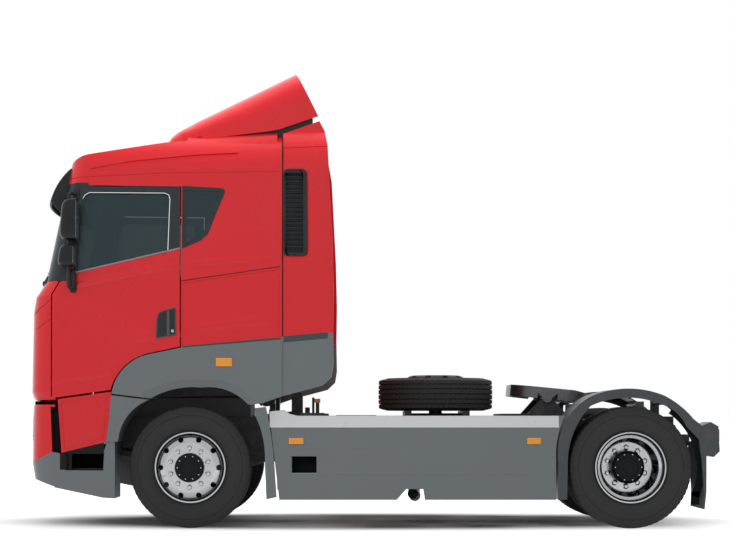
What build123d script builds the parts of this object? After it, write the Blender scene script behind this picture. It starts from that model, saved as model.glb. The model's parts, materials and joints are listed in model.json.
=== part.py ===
from build123d import *
import math
import os

# Two-axle tractor unit for a semi trailer. Millimetres. X runs from the nose to the tail, Y from
# the driver's side (-Y) to the passenger's side (+Y), Z is up. While the pieces are built, X is
# counted from the front axle; export moves the origin under the middle of the whole vehicle.

# --- running gear -----------------------------------------------------------------------------
wheelbase = 3760.0
tyre_radius = 522.0
tyre_width = 296.0
tyre_wall = 24.0
bead_radius = 288.3
rim_flange_radius = 303.0
rim_half_width = 130.0
rim_sheet = 12.0
rim_offset = 175.0
disc_flat_radius = 212.0
hand_hole_count = 10
hand_hole_radius = 24.0
hand_hole_circle = 248.0
front_tyre_y = 1020.0
rear_disc_y = 910.0
kingpin_y = 900.0
kingpin_radius = 26.0
spindle_radius = 45.0
rear_spindle_radius = 60.0
shaft_clearance = 0.1
hub_radius = 123.0
rear_hub_radius = 140.0
hub_cap_depth = 46.0
brake_radius = 215.0

# --- ladder frame -----------------------------------------------------------------------------
rail_outer_y = 425.0
rail_flange = 80.0
rail_web = 9.0
rail_bottom = 680.0
rail_top = 960.0
rail_front = -1120.0
rail_rear_overhang = 500.0

# --- cab --------------------------------------------------------------------------------------
cab_half_width = 1245.0
cab_wall = 45.0
cab_back = 790.0
cab_bottom = 1125.0
cab_bow = 5000.0
cab_corner = 210.0
roof_seam_z = 3044.0
seam_width = 7.0
seam_depth = 6.0
floor_bottom = 1250.0
floor_thickness = 45.0
door_gap = 10.0
door_bottom_z = 1104.0
glass_thickness = 8.0
glass_inset = 5.0
panel_sheet = 30.0
tilt_pivot_x = -1215.0
tilt_pivot_z = 750.0
tilt_arm_y = 540.0
tilt_arm_thickness = 50.0
tilt_pin_radius = 24.0
cab_rest_z = 1150.0
seat_gap = 0.3

# --- bodywork below the cab --------------------------------------------------------------------
skirt_y = cab_half_width
fairing_sheet = 25.0
fairing_bottom = 249.0
fairing_top = 966.0
fairing_bevel_z = 863.0
fairing_bevel_in = 45.0
mudguard_sheet = 10.0
mudguard_inner_y = 640.0

# --- fifth wheel --------------------------------------------------------------------------------
kingpin_lead = 630.0
plate_pivot_z = 1128.0
plate_rise = 90.0
plate_thickness = 40.0
plate_half_width = 440.0
plate_front = 320.0
plate_rear = 410.0
plate_rest_tilt = 5.6
jaw_radius = 25.6
plate_pin_radius = 28.0

rear_axle_x = wheelbase
axle_z = tyre_radius


# --- helpers ------------------------------------------------------------------------------------
def block(x_span, y_span, z_span):
    """Box between a low and a high value on each axis."""
    spans = (x_span, y_span, z_span)
    size = [max(span) - min(span) for span in spans]
    centre = [(span[0] + span[1]) / 2 for span in spans]
    return Pos(*centre) * Box(*size)


def traced_face(steps, place):
    """Face inside an outline. A pair is a corner; two pairs are an arc's middle and its end."""
    here = steps[0]
    edges = []
    for step in [*steps[1:], steps[0]]:
        if isinstance(step[0], tuple):
            edges.append(Edge.make_three_point_arc(place(here), place(step[0]), place(step[1])))
            here = step[1]
        elif step != here:
            edges.append(Edge.make_line(place(here), place(step)))
            here = step
    return Face(Wire(edges))


def arc_centre(start, middle, end):
    """Centre of the circle through three points, all as complex numbers."""
    ratio = (end - start) / (middle - start)
    return start + (middle - start) * (ratio - abs(ratio) ** 2) / (2j * ratio.imag)


def grown(steps, amount):
    """Outline let out by an amount, or pulled in by a negative one, parallel to itself."""
    spans = []
    here = complex(*steps[0])
    for step in [*steps[1:], steps[0]]:
        middle = complex(*step[0]) if isinstance(step[0], tuple) else None
        end = complex(*(step[1] if middle is not None else step))
        if end != here:
            spans.append((here, middle, end))
        here = end
    corners = [span[0] for span in spans]
    area = sum((a.conjugate() * b).imag for a, b in zip(corners, corners[1:] + corners[:1]))
    out = -1j if area > 0 else 1j

    def normals(start, middle, end):
        if middle is None:
            side = out * (end - start) / abs(end - start)
            return side, side, side
        centre = arc_centre(start, middle, end)
        rays = [(point - centre) / abs(point - centre) for point in (start, middle, end)]
        chord = out * (end - start)
        sign = 1 if (rays[1] * chord.conjugate()).real > 0 else -1
        return tuple(sign * ray for ray in rays)

    sides = [normals(*span) for span in spans]
    moved = []
    for index, (start, middle, end) in enumerate(spans):
        before = sides[index - 1][2]
        after = sides[index][0]
        dot = (before * after.conjugate()).real
        corner = start + amount * (before + after) / (1 + dot)
        moved.append((corner, middle, sides[index][1]))
    result = [(moved[0][0].real, moved[0][0].imag)]
    for index, (corner, middle, side) in enumerate(moved):
        following = moved[(index + 1) % len(moved)][0]
        point = (following.real, following.imag)
        if middle is not None:
            middle = middle + amount * side
            result.append(((middle.real, middle.imag), point))
        elif index + 1 < len(moved):
            result.append(point)
    return result


def side_plate(steps, y_span):
    """Outline drawn in X and Z, given thickness across the truck."""
    low = min(y_span)
    face = traced_face(steps, lambda point: Vector(point[0], low, point[1]))
    return Solid.extrude(face, Vector(0, max(y_span) - low, 0))


def plan_plate(steps, z_span):
    """Outline drawn in X and Y, given height."""
    low = min(z_span)
    face = traced_face(steps, lambda point: Vector(point[0], point[1], low))
    return Solid.extrude(face, Vector(0, 0, max(z_span) - low))


def front_plate(steps, x_span):
    """Outline drawn in Y and Z, given length along the truck."""
    low = min(x_span)
    face = traced_face(steps, lambda point: Vector(low, point[0], point[1]))
    return Solid.extrude(face, Vector(max(x_span) - low, 0, 0))


def turned(steps):
    """Outline of radius and Y, revolved about the Y axis."""
    face = traced_face(steps, lambda point: Vector(point[0], point[1], 0))
    return Solid.revolve(face, 360, Axis.Y)


def rod(radius, start, end):
    """Round bar between two points."""
    base = Vector(*start)
    run = Vector(*end) - base
    return Solid.make_cylinder(radius, run.length, Plane(origin=base, z_dir=run))


def ring(outer, inner, y_span):
    """Round ring about the Y axis."""
    low = min(y_span)
    high = max(y_span)
    return turned([(inner, low), (outer, low), (outer, high), (inner, high)])


def mirrored(shape):
    """The same piece on the other side of the truck."""
    return mirror(shape, about=Plane.XZ)


def solids_of(*shapes):
    """One compound of all the separate solids in the shapes."""
    return Compound([solid for shape in shapes for solid in shape.solids()])


def pair(shape):
    """The piece and its twin on the other side."""
    return solids_of(shape, mirrored(shape))


# --- cab body -----------------------------------------------------------------------------------
# columns: height, nose (foremost point, at the middle), half width
cab_sections = [
    (door_bottom_z - 10, -1456.0, cab_half_width),
    (1165.0, -1477.0, cab_half_width),
    (1860.0, -1462.0, cab_half_width),
    (1982.0, -1442.0, cab_half_width),
    (2118.0, -1352.0, cab_half_width),
    (roof_seam_z + 24, -1146.0, cab_half_width - 32),
    (roof_seam_z + 416, -1061.0, cab_half_width - 45),
]
roof_side_line = [
    (-1700.0, 900.0),
    (-1700.0, roof_seam_z + 24),
    (-1100.0, roof_seam_z + 24),
    ((-992.0, roof_seam_z + 106), (-860.0, roof_seam_z + 156)),
    (-214.0, roof_seam_z + 268),
    (cab_back + 60, roof_seam_z + 358),
    (cab_back + 60, 900.0),
]
roof_shoulder_y = cab_half_width - 105
roof_shoulder_z = roof_seam_z + 218
roof_edge_y = cab_half_width - 245
roof_edge_z = roof_seam_z + 328
roof_end_line = [
    (1300.0, 900.0),
    (1300.0, roof_seam_z),
    (cab_half_width - 31, roof_seam_z),
    ((roof_shoulder_y, roof_shoulder_z), (roof_edge_y, roof_edge_z)),
    ((0.0, roof_seam_z + 380), (-roof_edge_y, roof_edge_z)),
    ((-roof_shoulder_y, roof_shoulder_z), (31 - cab_half_width, roof_seam_z)),
    (-1300.0, roof_seam_z),
    (-1300.0, 900.0),
]


def plan_section(height, nose, half_width, back, bow, corner, inset):
    """Level outline of the cab: bowed nose, rounded corners, straight sides and back."""
    front = nose + inset
    wide = half_width - inset
    bow = bow - inset
    corner = corner - inset
    rear = back - inset
    corner_x = front + bow - math.sqrt((bow - corner) ** 2 - (wide - corner) ** 2)
    reach = bow / (bow - corner)
    touch_x = front + bow + (corner_x - front - bow) * reach
    touch_y = (wide - corner) * reach
    lean = math.atan2(corner_x - touch_x, touch_y - wide + corner) / 2
    middle_x = corner_x - corner * math.sin(lean)
    middle_y = wide - corner + corner * math.cos(lean)
    steps = [
        (rear, -wide),
        (corner_x, -wide),
        ((middle_x, -middle_y), (touch_x, -touch_y)),
        ((front, 0.0), (touch_x, touch_y)),
        ((middle_x, middle_y), (corner_x, wide)),
        (rear, wide),
    ]
    return traced_face(steps, lambda point: Vector(point[0], point[1], height)).outer_wire()


def cab_body(inset):
    """The cab's outer form moved inwards by a distance, open below."""
    wires = []
    for index, (height, nose, half_width) in enumerate(cab_sections):
        level = height - inset if index == 0 else height
        wires.append(plan_section(level, nose, half_width, cab_back, cab_bow, cab_corner, inset))
    body = Solid.make_loft(wires, ruled=True)
    body = body & side_plate(grown(roof_side_line, -inset), (-1500, 1500))
    return body & front_plate(grown(roof_end_line, -inset), (-1600, 1400))


# The grey arch over the front wheel: its outer line meets the door and the cab's side, and its
# opening line clears the tyre. Both are drawn in X and Z.
arch_foot = (-659.0, 1152.0)
arch_mid = (-556.0, 1366.0)
arch_shoulder = (-330.0, 1490.0)
arch_door_end = (-60.0, 1544.0)
arch_back_end = (cab_back, 1614.0)
opening_front = (-330.0, 1112.0)
opening_front_mid = (-150.0, 1186.0)
opening_top = (100.0, 1204.0)
opening_rear_mid = (330.0, 1178.0)
opening_rear = (500.0, 1062.0)
skirt_bottom_front = (cab_back, 1130.0)
skirt_top_front = (cab_back, 1636.0)
skirt_top_rear = (1224.0, 1672.0)
door_outline = [
    (-1176.0, door_bottom_z),
    (-1176.0, 1997.0),
    (-1109.0, 2109.0),
    (-960.0, 2930.0),
    (-70.0, 2918.0),
    (-70.0, arch_door_end[1]),
    arch_shoulder,
    (arch_mid, (-661.0, 1176.0)),
]
door_glass_outline = [
    (-958.0, 2195.0),
    (-934.0, 2668.0),
    ((-914.0, 2790.0), (-850.0, 2856.0)),
    (-215.0, 2851.0),
    ((-184.0, 2842.0), (-176.0, 2815.0)),
    (-190.0, 2366.0),
]
quarter_outline = [
    (-52.0, 2888.0),
    (262.0, 2874.0),
    ((286.0, 2866.0), (284.0, 2840.0)),
    (178.0, 2590.0),
    ((150.0, 2520.0), (90.0, 2470.0)),
    (-52.0, 2406.0),
]
windscreen_outline = [
    (-1060.0, 2175.0),
    (-1010.0, 3010.0),
    (1010.0, 3010.0),
    (1060.0, 2175.0),
]
side_span = (-1400.0, -1000.0)
wall_inner_y = cab_wall - cab_half_width


def main_solid(shape):
    """The largest solid of a shape."""
    return max(shape.solids(), key=lambda solid: solid.volume)


outer = cab_body(0.0)
inner = cab_body(cab_wall)
wall = outer - inner
door_hole = side_plate(door_outline, side_span)
quarter_hole = side_plate(quarter_outline, side_span)
windscreen_hole = front_plate(windscreen_outline, (-1700.0, -900.0))
below_arch_line = side_plate(
    [
        (-720.0, 900.0),
        (-661.0, 1176.0),
        (arch_mid, arch_shoulder),
        arch_door_end,
        arch_back_end,
        (cab_back + 20, arch_back_end[1]),
        (cab_back + 20, 900.0),
    ],
    (-1400.0, wall_inner_y),
)
door_room = side_plate(grown(door_outline, 4.0), (-1400.0, wall_inner_y + 15))
back_low = block((cab_back - cab_wall - 1, cab_back + 1), (-1300, 1300), (1000, floor_bottom))
shell = wall - back_low - block((-1600, cab_back), (-1300, 1300), (1000, cab_bottom))
for cutter in (door_hole, quarter_hole, below_arch_line):
    shell = shell - cutter - mirrored(cutter)
shell = shell - windscreen_hole
floor_slab = block((-1500, cab_back), (-1300, 1300), (floor_bottom, floor_bottom + floor_thickness))
floor_pan = inner & floor_slab
for cutter in (door_room, below_arch_line):
    floor_pan = floor_pan - cutter - mirrored(cutter)
cab_shell = main_solid(shell + floor_pan)
cab_skin = cab_body(seam_depth)
locker_outline = [(-52.0, 2092.0), (770.0, 2208.0), (770.0, 1560.0), (-52.0, 1490.0)]
# each: corners of a line along the cab's side, in X and Z, front to rear
seam_lines = [
    [(-1020.0, 2990.0), (-119.0, 3031.0), (752.0, 3040.0)],
    [(-1460.0, 1770.0), (-1330.0, 1836.0), (-1172.0, 1953.0)],
    [(-1300.0, 1704.0), (-1172.0, 1790.0)],
]


def seam_along(line):
    """Narrow prism through the cab along a line on its side."""
    above = [(x, z + seam_width) for x, z in reversed(line)]
    return side_plate([*line, *above], side_span)


seams = [side_plate(grown(locker_outline, seam_width / 2), side_span)]
seams[0] = seams[0] - side_plate(grown(locker_outline, -seam_width / 2), side_span)
for line in seam_lines:
    seams.append(seam_along(line))
for seam in seams:
    groove = seam - cab_skin
    cab_shell = cab_shell - groove - mirrored(groove)
channel_depth = 10.0
roof_channel = [
    (-870.0, roof_seam_z + 22),
    (-502.0, roof_seam_z + 93),
    (75.0, roof_seam_z + 151),
    (417.0, roof_seam_z + 169),
    (380.0, roof_seam_z + 110),
    (60.0, roof_seam_z + 88),
    (-500.0, roof_seam_z + 40),
]
channel = side_plate(roof_channel, side_span) - cab_body(channel_depth)
cab_shell = main_solid(cab_shell - channel - mirrored(channel))
glass_band = cab_body(glass_inset) - cab_body(glass_inset + glass_thickness)
windscreen = main_solid(glass_band & windscreen_hole)
quarter_glass = main_solid(glass_band & quarter_hole)
door_window = side_plate(door_glass_outline, side_span)
door_left = main_solid((wall & side_plate(grown(door_outline, -door_gap), side_span)) - door_window)
door_glass = main_solid(glass_band & door_window)
door_crease = [(-1180.0, 1238.0), (-640.0, 1317.0)]
door_left = door_left - (seam_along(door_crease) - cab_skin)
handle_outline = [
    (-276.0, 1628.0),
    (-271.0, 1782.0),
    ((-255.0, 1835.0), (-222.0, 1852.0)),
    (-118.0, 1879.0),
    (-118.0, 1657.0),
]
handle_pocket_y = (-1400.0, wall_inner_y - 12)
door_left = door_left - side_plate(handle_outline, handle_pocket_y)
handle_x = -178.0
handle_grip = rod(13.0, (handle_x, 8 - cab_half_width, 1640), (handle_x, 8 - cab_half_width, 1870))
for foot_z in (1655.0, 1845.0):
    handle_grip = handle_grip + rod(
        10.0, (handle_x, 8 - cab_half_width, foot_z), (handle_x, wall_inner_y - 10, foot_z)
    )
door_left = main_solid(door_left + handle_grip)

# --- cab underfloor: tilting arms and beams -------------------------------------------------------
arm_half = tilt_arm_thickness / 2
arm_side = [
    (tilt_pivot_x - 30, tilt_pivot_z - 36),
    (tilt_pivot_x + 30, tilt_pivot_z - 36),
    (-700.0, 1120.0),
    (500.0, cab_rest_z),
    (700.0, cab_rest_z),
    (700.0, floor_bottom),
    (-860.0, floor_bottom),
    (-900.0, 1080.0),
    (tilt_pivot_x - 46, tilt_pivot_z + 30),
]
arm_eye = rod(
    46.0,
    (tilt_pivot_x, -tilt_arm_y - arm_half, tilt_pivot_z),
    (tilt_pivot_x, -tilt_arm_y + arm_half, tilt_pivot_z),
)
pin_hole = rod(
    tilt_pin_radius + shaft_clearance,
    (tilt_pivot_x, -tilt_arm_y - 80, tilt_pivot_z),
    (tilt_pivot_x, -tilt_arm_y + 80, tilt_pivot_z),
)
arm = side_plate(arm_side, (-tilt_arm_y - arm_half, -tilt_arm_y + arm_half)) + arm_eye - pin_hole
cab_beams = pair(main_solid(arm))

# --- mirrors on the doors -------------------------------------------------------------------------
mirror_post_x = -1004.0
mirror_post_y = -1368.0
mirror_arm_heights = (2062.0, 2850.0)
mirror_y_span = (-1492.0, -1302.0)
# columns: low x, high x, low z, high z
mirror_heads = [
    (-1066.0, -926.0, 2440.0, 2790.0),
    (-1082.0, -950.0, 2222.0, 2404.0),
]


def mirror_head(x_low, x_high, z_low, z_high):
    """Mirror housing, rounded at its edges and towards the front."""
    body = block((x_low, x_high), mirror_y_span, (z_low, z_high))
    body = fillet(body.edges().filter_by(Axis.X), 38)
    return fillet(body.faces().sort_by(Axis.X)[0].edges(), 42)


mirror_set = rod(
    16.0,
    (mirror_post_x, mirror_post_y, mirror_arm_heights[0]),
    (mirror_post_x, mirror_post_y, mirror_arm_heights[1]),
)
for arm_z in mirror_arm_heights:
    mirror_set = mirror_set + rod(
        15.0, (mirror_post_x, mirror_post_y, arm_z), (mirror_post_x + 26, -1180.0, arm_z)
    )
    mirror_set = mirror_set + Pos(mirror_post_x, mirror_post_y, arm_z) * Sphere(20)
for head in mirror_heads:
    mirror_set = mirror_set + mirror_head(*head)
mirror_left = main_solid(mirror_set - cab_body(-0.3))

# --- cab outside: skirts, extenders, louvres ------------------------------------------------------
arch_plate_span = (-cab_half_width - 14, wall_inner_y)
arch_plate = side_plate(
    [
        arch_foot,
        (arch_mid, arch_shoulder),
        arch_door_end,
        arch_back_end,
        skirt_bottom_front,
        (625.0, 1072.0),
        (531.0, 1059.0),
        opening_rear,
        (opening_rear_mid, opening_top),
        (opening_front_mid, opening_front),
    ],
    arch_plate_span,
)
# a slope round the wheel opening leads the plate's face inwards
flare_wide = 66.0
flare_deep = 30.0
opening_outline = [
    opening_front,
    (opening_front_mid, opening_top),
    (opening_rear_mid, opening_rear),
    (520.0, 980.0),
    (-350.0, 980.0),
]


def opening_wire(amount, y):
    """The wheel opening's outline, let out by an amount, at a place across the truck."""
    steps = grown(opening_outline, amount)
    return traced_face(steps, lambda point: Vector(point[0], y, point[1])).outer_wire()


flare_start = arch_plate_span[0]
flare_wires = [
    opening_wire(flare_wide + 22, flare_start - 10),
    opening_wire(0.0, flare_start + flare_deep),
]
arch_plate = main_solid(arch_plate - Solid.make_loft(flare_wires, ruled=True))
liner_sheet = 14.0
liner_inner_y = -850.0
arch_liner = side_plate(
    [
        opening_front,
        (opening_front_mid, opening_top),
        (opening_rear_mid, opening_rear),
        (512.0, 1071.0),
        ((338.0, 1193.0), (opening_top[0], opening_top[1] + liner_sheet)),
        ((-156.0, 1200.0), (-337.0, 1125.0)),
    ],
    (arch_plate_span[1] - 20, liner_inner_y),
)
skirt_plate = side_plate(
    [
        skirt_top_front,
        skirt_top_rear,
        (1229.0, 1400.0),
        (1211.0, 1293.0),
        (1138.0, 1222.0),
        skirt_bottom_front,
    ],
    (-skirt_y, panel_sheet - skirt_y),
)
cab_skirts = pair(arch_plate + arch_liner + skirt_plate)

louvre_x = (812.0, 985.0)
louvre_z = (2345.0, 3040.0)
louvre_border = 12.0
louvre_count = 17
louvre_blade = 5.0
extender = side_plate(
    [
        skirt_top_front,
        (cab_back, roof_seam_z + 342),
        (1104.0, roof_seam_z + 456),
        (1150.0, roof_seam_z + 368),
        (1178.0, roof_shoulder_z),
        (1219.0, 2461.0),
        (1229.0, 2031.0),
        skirt_top_rear,
    ],
    (-skirt_y, -900),
)
# columns: Y and Z of the extender's outer face, upright and then leaning in with the roof
extender_face = [
    (-skirt_y, 1500.0),
    (-skirt_y, roof_seam_z),
    ((53 - skirt_y, roof_shoulder_z), (167 - skirt_y, roof_seam_z + 356)),
    (195 - skirt_y, roof_seam_z + 556),
]
extender_back = [
    (panel_sheet + 195 - skirt_y, roof_seam_z + 556),
    (panel_sheet + 167 - skirt_y, roof_seam_z + 346),
    ((panel_sheet + 53 - skirt_y, roof_shoulder_z - 12), (panel_sheet - skirt_y, roof_seam_z)),
    (panel_sheet - skirt_y, 1500.0),
]
extender = extender & front_plate([*extender_face, *extender_back], (cab_back - 1, 1400))
# the louvre sits in a slope-edged recess, and seams part the panel's top and its front edge
recess_depth = 14.0
recess_slope = 56.0
recess_lip = 6.0
skin_cut = extender - Pos(0, seam_depth, 0) * extender
top_seam = seam_along([(cab_back - 1, roof_seam_z + 199), (1260.0, roof_seam_z + 221)])
front_seam = block((cab_back - 1, cab_back + seam_width), (-1300, -900), (1500, 3600))
extender = extender - (skin_cut & (top_seam + front_seam))


def louvre_wire(margin, y):
    """Upright rectangle round the louvre, let out by a margin above, below and behind."""
    corners = [
        (louvre_x[0] - recess_lip, louvre_z[0] - margin),
        (louvre_x[1] + margin, louvre_z[0] - margin),
        (louvre_x[1] + margin, louvre_z[1] + margin),
        (louvre_x[0] - recess_lip, louvre_z[1] + margin),
    ]
    return traced_face(corners, lambda point: Vector(point[0], y, point[1])).outer_wire()


recess_wires = [
    louvre_wire(recess_lip + recess_slope, -skirt_y),
    louvre_wire(recess_lip, recess_depth - skirt_y),
]
extender = extender - Solid.make_loft(recess_wires, ruled=True)
extender = main_solid(extender - block(louvre_x, (-1300, -1100), louvre_z))
louvre_y = (6 - skirt_y, panel_sheet - skirt_y)
louvre_back = 4.0
louvre_mouth = block(
    (louvre_x[0] + louvre_border, louvre_x[1] - louvre_border),
    (-1300, -1100),
    (louvre_z[0] + louvre_border, louvre_z[1] - louvre_border),
)
louvre = block(louvre_x, louvre_y, louvre_z) - louvre_mouth
louvre = louvre + block(louvre_x, (louvre_y[1] - 1, louvre_y[1] + louvre_back), louvre_z)
louvre_pitch = (louvre_z[1] - louvre_z[0] - 2 * louvre_border) / louvre_count
for index in range(louvre_count):
    blade_z = louvre_z[0] + louvre_border + louvre_pitch * (index + 0.5)
    blade = front_plate(
        [
            (louvre_y[0] + 5, blade_z - 14),
            (louvre_y[1], blade_z + 14 - louvre_blade),
            (louvre_y[1], blade_z + 14),
            (louvre_y[0] + 5, blade_z - 14 + louvre_blade),
        ],
        (louvre_x[0] + louvre_border - 1, louvre_x[1] - louvre_border + 1),
    )
    louvre = louvre + blade
louvre = main_solid(louvre)

# --- roof deflector and sun visor -------------------------------------------------------------------
deflector_sheet = 25.0
deflector_half_width = cab_half_width - 205
deflector_foot_y = 70 - deflector_half_width
deflector_side = [
    (-272.0, roof_seam_z + 272),
    ((-215.0, roof_seam_z + 376), (-90.0, roof_seam_z + 464)),
    (335.0, roof_seam_z + 678),
    (875.0, roof_seam_z + 941),
    (1094.0, roof_seam_z + 502),
    (735.0, roof_seam_z + 381),
    (279.0, roof_seam_z + 328),
]


def deflector_form(inset, slide, drop):
    """Form of the roof deflector moved inwards, back and down by given distances."""
    wide = deflector_half_width - inset
    nose = -280.0
    plan = [
        (nose, 420 - wide),
        ((nose + 90, 150 - wide), (nose + 330, 30 - wide)),
        (700.0, -wide),
        (1500.0, -wide),
        (1500.0, wide),
        (700.0, wide),
        (nose + 330, wide - 30),
        ((nose + 90, wide - 150), (nose, wide - 420)),
    ]
    ends = [
        (-wide, roof_seam_z),
        (-wide, roof_seam_z + 386),
        ((40 - wide, roof_seam_z + 716), (180 - wide, roof_seam_z + 916)),
        ((0.0, roof_seam_z + 966), (wide - 180, roof_seam_z + 916)),
        ((wide - 40, roof_seam_z + 716), (wide, roof_seam_z + 386)),
        (wide, roof_seam_z),
    ]
    form = side_plate(deflector_side, (-1500, 1500))
    form = form & plan_plate(plan, (roof_seam_z, roof_seam_z + 1200))
    return Pos(slide, 0, -drop) * (form & front_plate(ends, (-400, 1600)))


hollow_form = deflector_form(deflector_sheet, deflector_sheet, deflector_sheet)
deflector = deflector_form(0.0, 0.0, 0.0) - hollow_form
deflector = deflector - Pos(90, 0, -20) * hollow_form - Pos(40, 0, -70) * hollow_form
foot_y = (deflector_foot_y, -deflector_half_width)
foot_z = (roof_seam_z + 156, roof_seam_z + 396)
for foot_x in (-40.0, 300.0, 620.0):
    foot = block((foot_x, foot_x + 80), foot_y, foot_z)
    foot = foot - cab_body(-seat_gap)
    deflector = deflector + foot + mirrored(foot)
deflector = main_solid(deflector)

# The visor is a curved blade swept round the windscreen's bow, closed at both ends.
visor_axis_x = 3796.0
visor_sweep = 12.6
visor_end_sweep = 0.18
visor_blade = [
    (-1323.0, 2806.0),
    ((-1238.0, 2990.0), (-1148.0, 3092.0)),
    (-1130.0, 3070.0),
    ((-1222.0, 2978.0), (-1306.0, 2800.0)),
]
visor_end = [
    (-1323.0, 2806.0),
    ((-1238.0, 2990.0), (-1148.0, 3092.0)),
    (-1107.0, 2990.0),
    (-1139.0, 2850.0),
    (-1239.0, 2711.0),
]
visor_axis = Axis((visor_axis_x, 0, 0), (0, 0, 1))


def visor_piece(steps, start, sweep):
    """Upright section swept about the centre of the windscreen's bow."""
    face = traced_face(steps, lambda point: Vector(point[0], 0, point[1]))
    return Solid.revolve(face.rotate(visor_axis, start), sweep, visor_axis)


visor = visor_piece(visor_blade, -visor_sweep, 2 * visor_sweep)
visor = visor + visor_piece(visor_end, -visor_sweep, visor_end_sweep)
visor = visor + visor_piece(visor_end, visor_sweep - visor_end_sweep, visor_end_sweep)
visor = main_solid(visor - outer)

# the grille in the cab's nose: a curved plate with level slots
grille_half_width = 700.0
grille_z = (1215.0, 1790.0)
grille_slots = 6
grille_bar = 34.0
grille_border = 40.0
grille_back_sheet = 5.0
grille_opening = block((-1700, -1000), (-grille_half_width, grille_half_width), grille_z)
grille = wall & grille_opening
slot_pitch = (grille_z[1] - grille_z[0] - 2 * grille_border + grille_bar) / grille_slots
for index in range(grille_slots):
    slot_low = grille_z[0] + grille_border + slot_pitch * index
    slot_span = (slot_low, slot_low + slot_pitch - grille_bar)
    slot_half = grille_half_width - grille_border
    grille = grille - block((-1700, -1000), (-slot_half, -20), slot_span)
    grille = grille - block((-1700, -1000), (20, slot_half), slot_span)
grille_back = cab_body(cab_wall - 1) - cab_body(cab_wall + grille_back_sheet)
grille = main_solid(grille + (grille_back & grille_opening))
cab_shell = main_solid(cab_shell - grille_opening)

# --- interior ---------------------------------------------------------------------------------------
floor_top = floor_bottom + floor_thickness
dash = side_plate(
    [
        (-1330.0, floor_top),
        (-1330.0, 2090.0),
        (-1200.0, 2120.0),
        ((-1010.0, 2100.0), (-930.0, 1990.0)),
        (-960.0, 1800.0),
        (-1130.0, 1650.0),
        (-1160.0, floor_top),
    ],
    (115 - cab_half_width, cab_half_width - 115),
)
seat_y = 600.0
seat = side_plate(
    [
        (-330.0, 1740.0),
        (-330.0, 1830.0),
        ((-200.0, 1875.0), (60.0, 1820.0)),
        (150.0, 2390.0),
        (190.0, 2590.0),
        (250.0, 2590.0),
        (280.0, 2380.0),
        (180.0, 1740.0),
    ],
    (-seat_y - 255, -seat_y + 255),
)
seat = seat + block((-180, 100), (-seat_y - 160, -seat_y + 160), (floor_top, 1741))
bunk_y = (165 - cab_half_width, cab_half_width - 165)
bunk = block((330.0, cab_back - cab_wall), bunk_y, (1760, 1900))
bunk = bunk + block((330.0, cab_back - cab_wall), bunk_y, (floor_top, 1761))
column_base = (-1000.0, -seat_y, 1760.0)
wheel_centre = (-770.0, -seat_y, 2010.0)
wheel_rim_radius = 215.0
wheel_tube = 15.0
column_radius = 36.0
column_run = Vector(*wheel_centre) - Vector(*column_base)
column_axis = column_run.normalized()
column_end = Vector(*wheel_centre) - column_axis * 40
steering_column = rod(column_radius, column_base, column_end)
column_foot = (column_base[0] - 160, column_base[1], column_base[2] - 30)
steering_column = steering_column + rod(30.0, column_foot, column_base)
dash = main_solid((dash & inner) - steering_column)
wheel_plane = Plane(origin=wheel_centre, z_dir=column_axis)
steering_wheel = wheel_plane * Torus(wheel_rim_radius, wheel_tube)
steering_wheel = steering_wheel + wheel_plane * Pos(0, 0, -17) * Cylinder(62, 45)
for angle in (0, 120, 240):
    spoke = Pos((wheel_rim_radius + 40) / 2, 0, -8) * Box(wheel_rim_radius - 40, 34, 12)
    steering_wheel = steering_wheel + wheel_plane * Rot(0, 0, angle + 30) * spoke
steering_wheel = main_solid(steering_wheel)

# --- wheels -----------------------------------------------------------------------------------------
tyre_half = tyre_width / 2
# how far the side wall's arc passes the middle point that it is drawn through
tyre_bulge = 1.67


def tyre():
    """Tyre about the Y axis: a hollow casing with its beads on the rim."""
    crown = tyre_radius - tyre_wall
    profile = [
        (bead_radius, -104.0),
        (305.0, -114.0),
        ((390.0, -tyre_half), (480.0, 10 - tyre_half)),
        (tyre_radius - 6, 24 - tyre_half),
        (tyre_radius, 48 - tyre_half),
        (tyre_radius, tyre_half - 48),
        (tyre_radius - 6, tyre_half - 24),
        (480.0, tyre_half - 10),
        ((390.0, tyre_half), (305.0, 114.0)),
        (bead_radius, 104.0),
        (bead_radius, 80.0),
        (330.0, 92.0),
        (440.0, tyre_half - 26),
        (crown, tyre_half - 50),
        (crown, 50 - tyre_half),
        (440.0, 26 - tyre_half),
        (330.0, -92.0),
        (bead_radius, -80.0),
    ]
    return turned(profile)


def rim(centre_hole):
    """Wheel rim about the Y axis, its disc bulging towards +Y and pierced by hand holes."""
    flange = rim_flange_radius
    seat = bead_radius - 0.3
    barrel = [
        (flange, -rim_half_width),
        (flange, -118.0),
        (seat, -110.0),
        (seat - 2, -60.0),
        (264.0, -45.0),
        (264.0, 20.0),
        (seat - 2, 60.0),
        (seat, 110.0),
        (flange, 118.0),
        (flange, rim_half_width),
        (flange - 11, rim_half_width),
        (278.0, 100.0),
        (275.0, 62.0),
        (253.0, 24.0),
        (253.0, -49.0),
        (275.0, -64.0),
        (278.0, -100.0),
        (flange - 11, -rim_half_width),
    ]
    disc_back = rim_offset - rim_sheet
    disc = [
        (279.0, 72.0),
        (279.0, 96.0),
        ((266.0, 146.0), (disc_flat_radius + 10, rim_offset - 2)),
        (disc_flat_radius, rim_offset),
        (centre_hole, rim_offset),
        (centre_hole, disc_back),
        (disc_flat_radius - 4, disc_back),
        ((253.0, 136.0), (266.0, 72.0)),
    ]
    wheel = turned(barrel) + turned(disc)
    for index in range(hand_hole_count):
        turn = Rot(0, 360 / hand_hole_count * index, 0)
        hole = rod(hand_hole_radius, (hand_hole_circle, 66, 0), (hand_hole_circle, 200, 0))
        wheel = wheel - turn * hole
    return main_solid(wheel)


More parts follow.
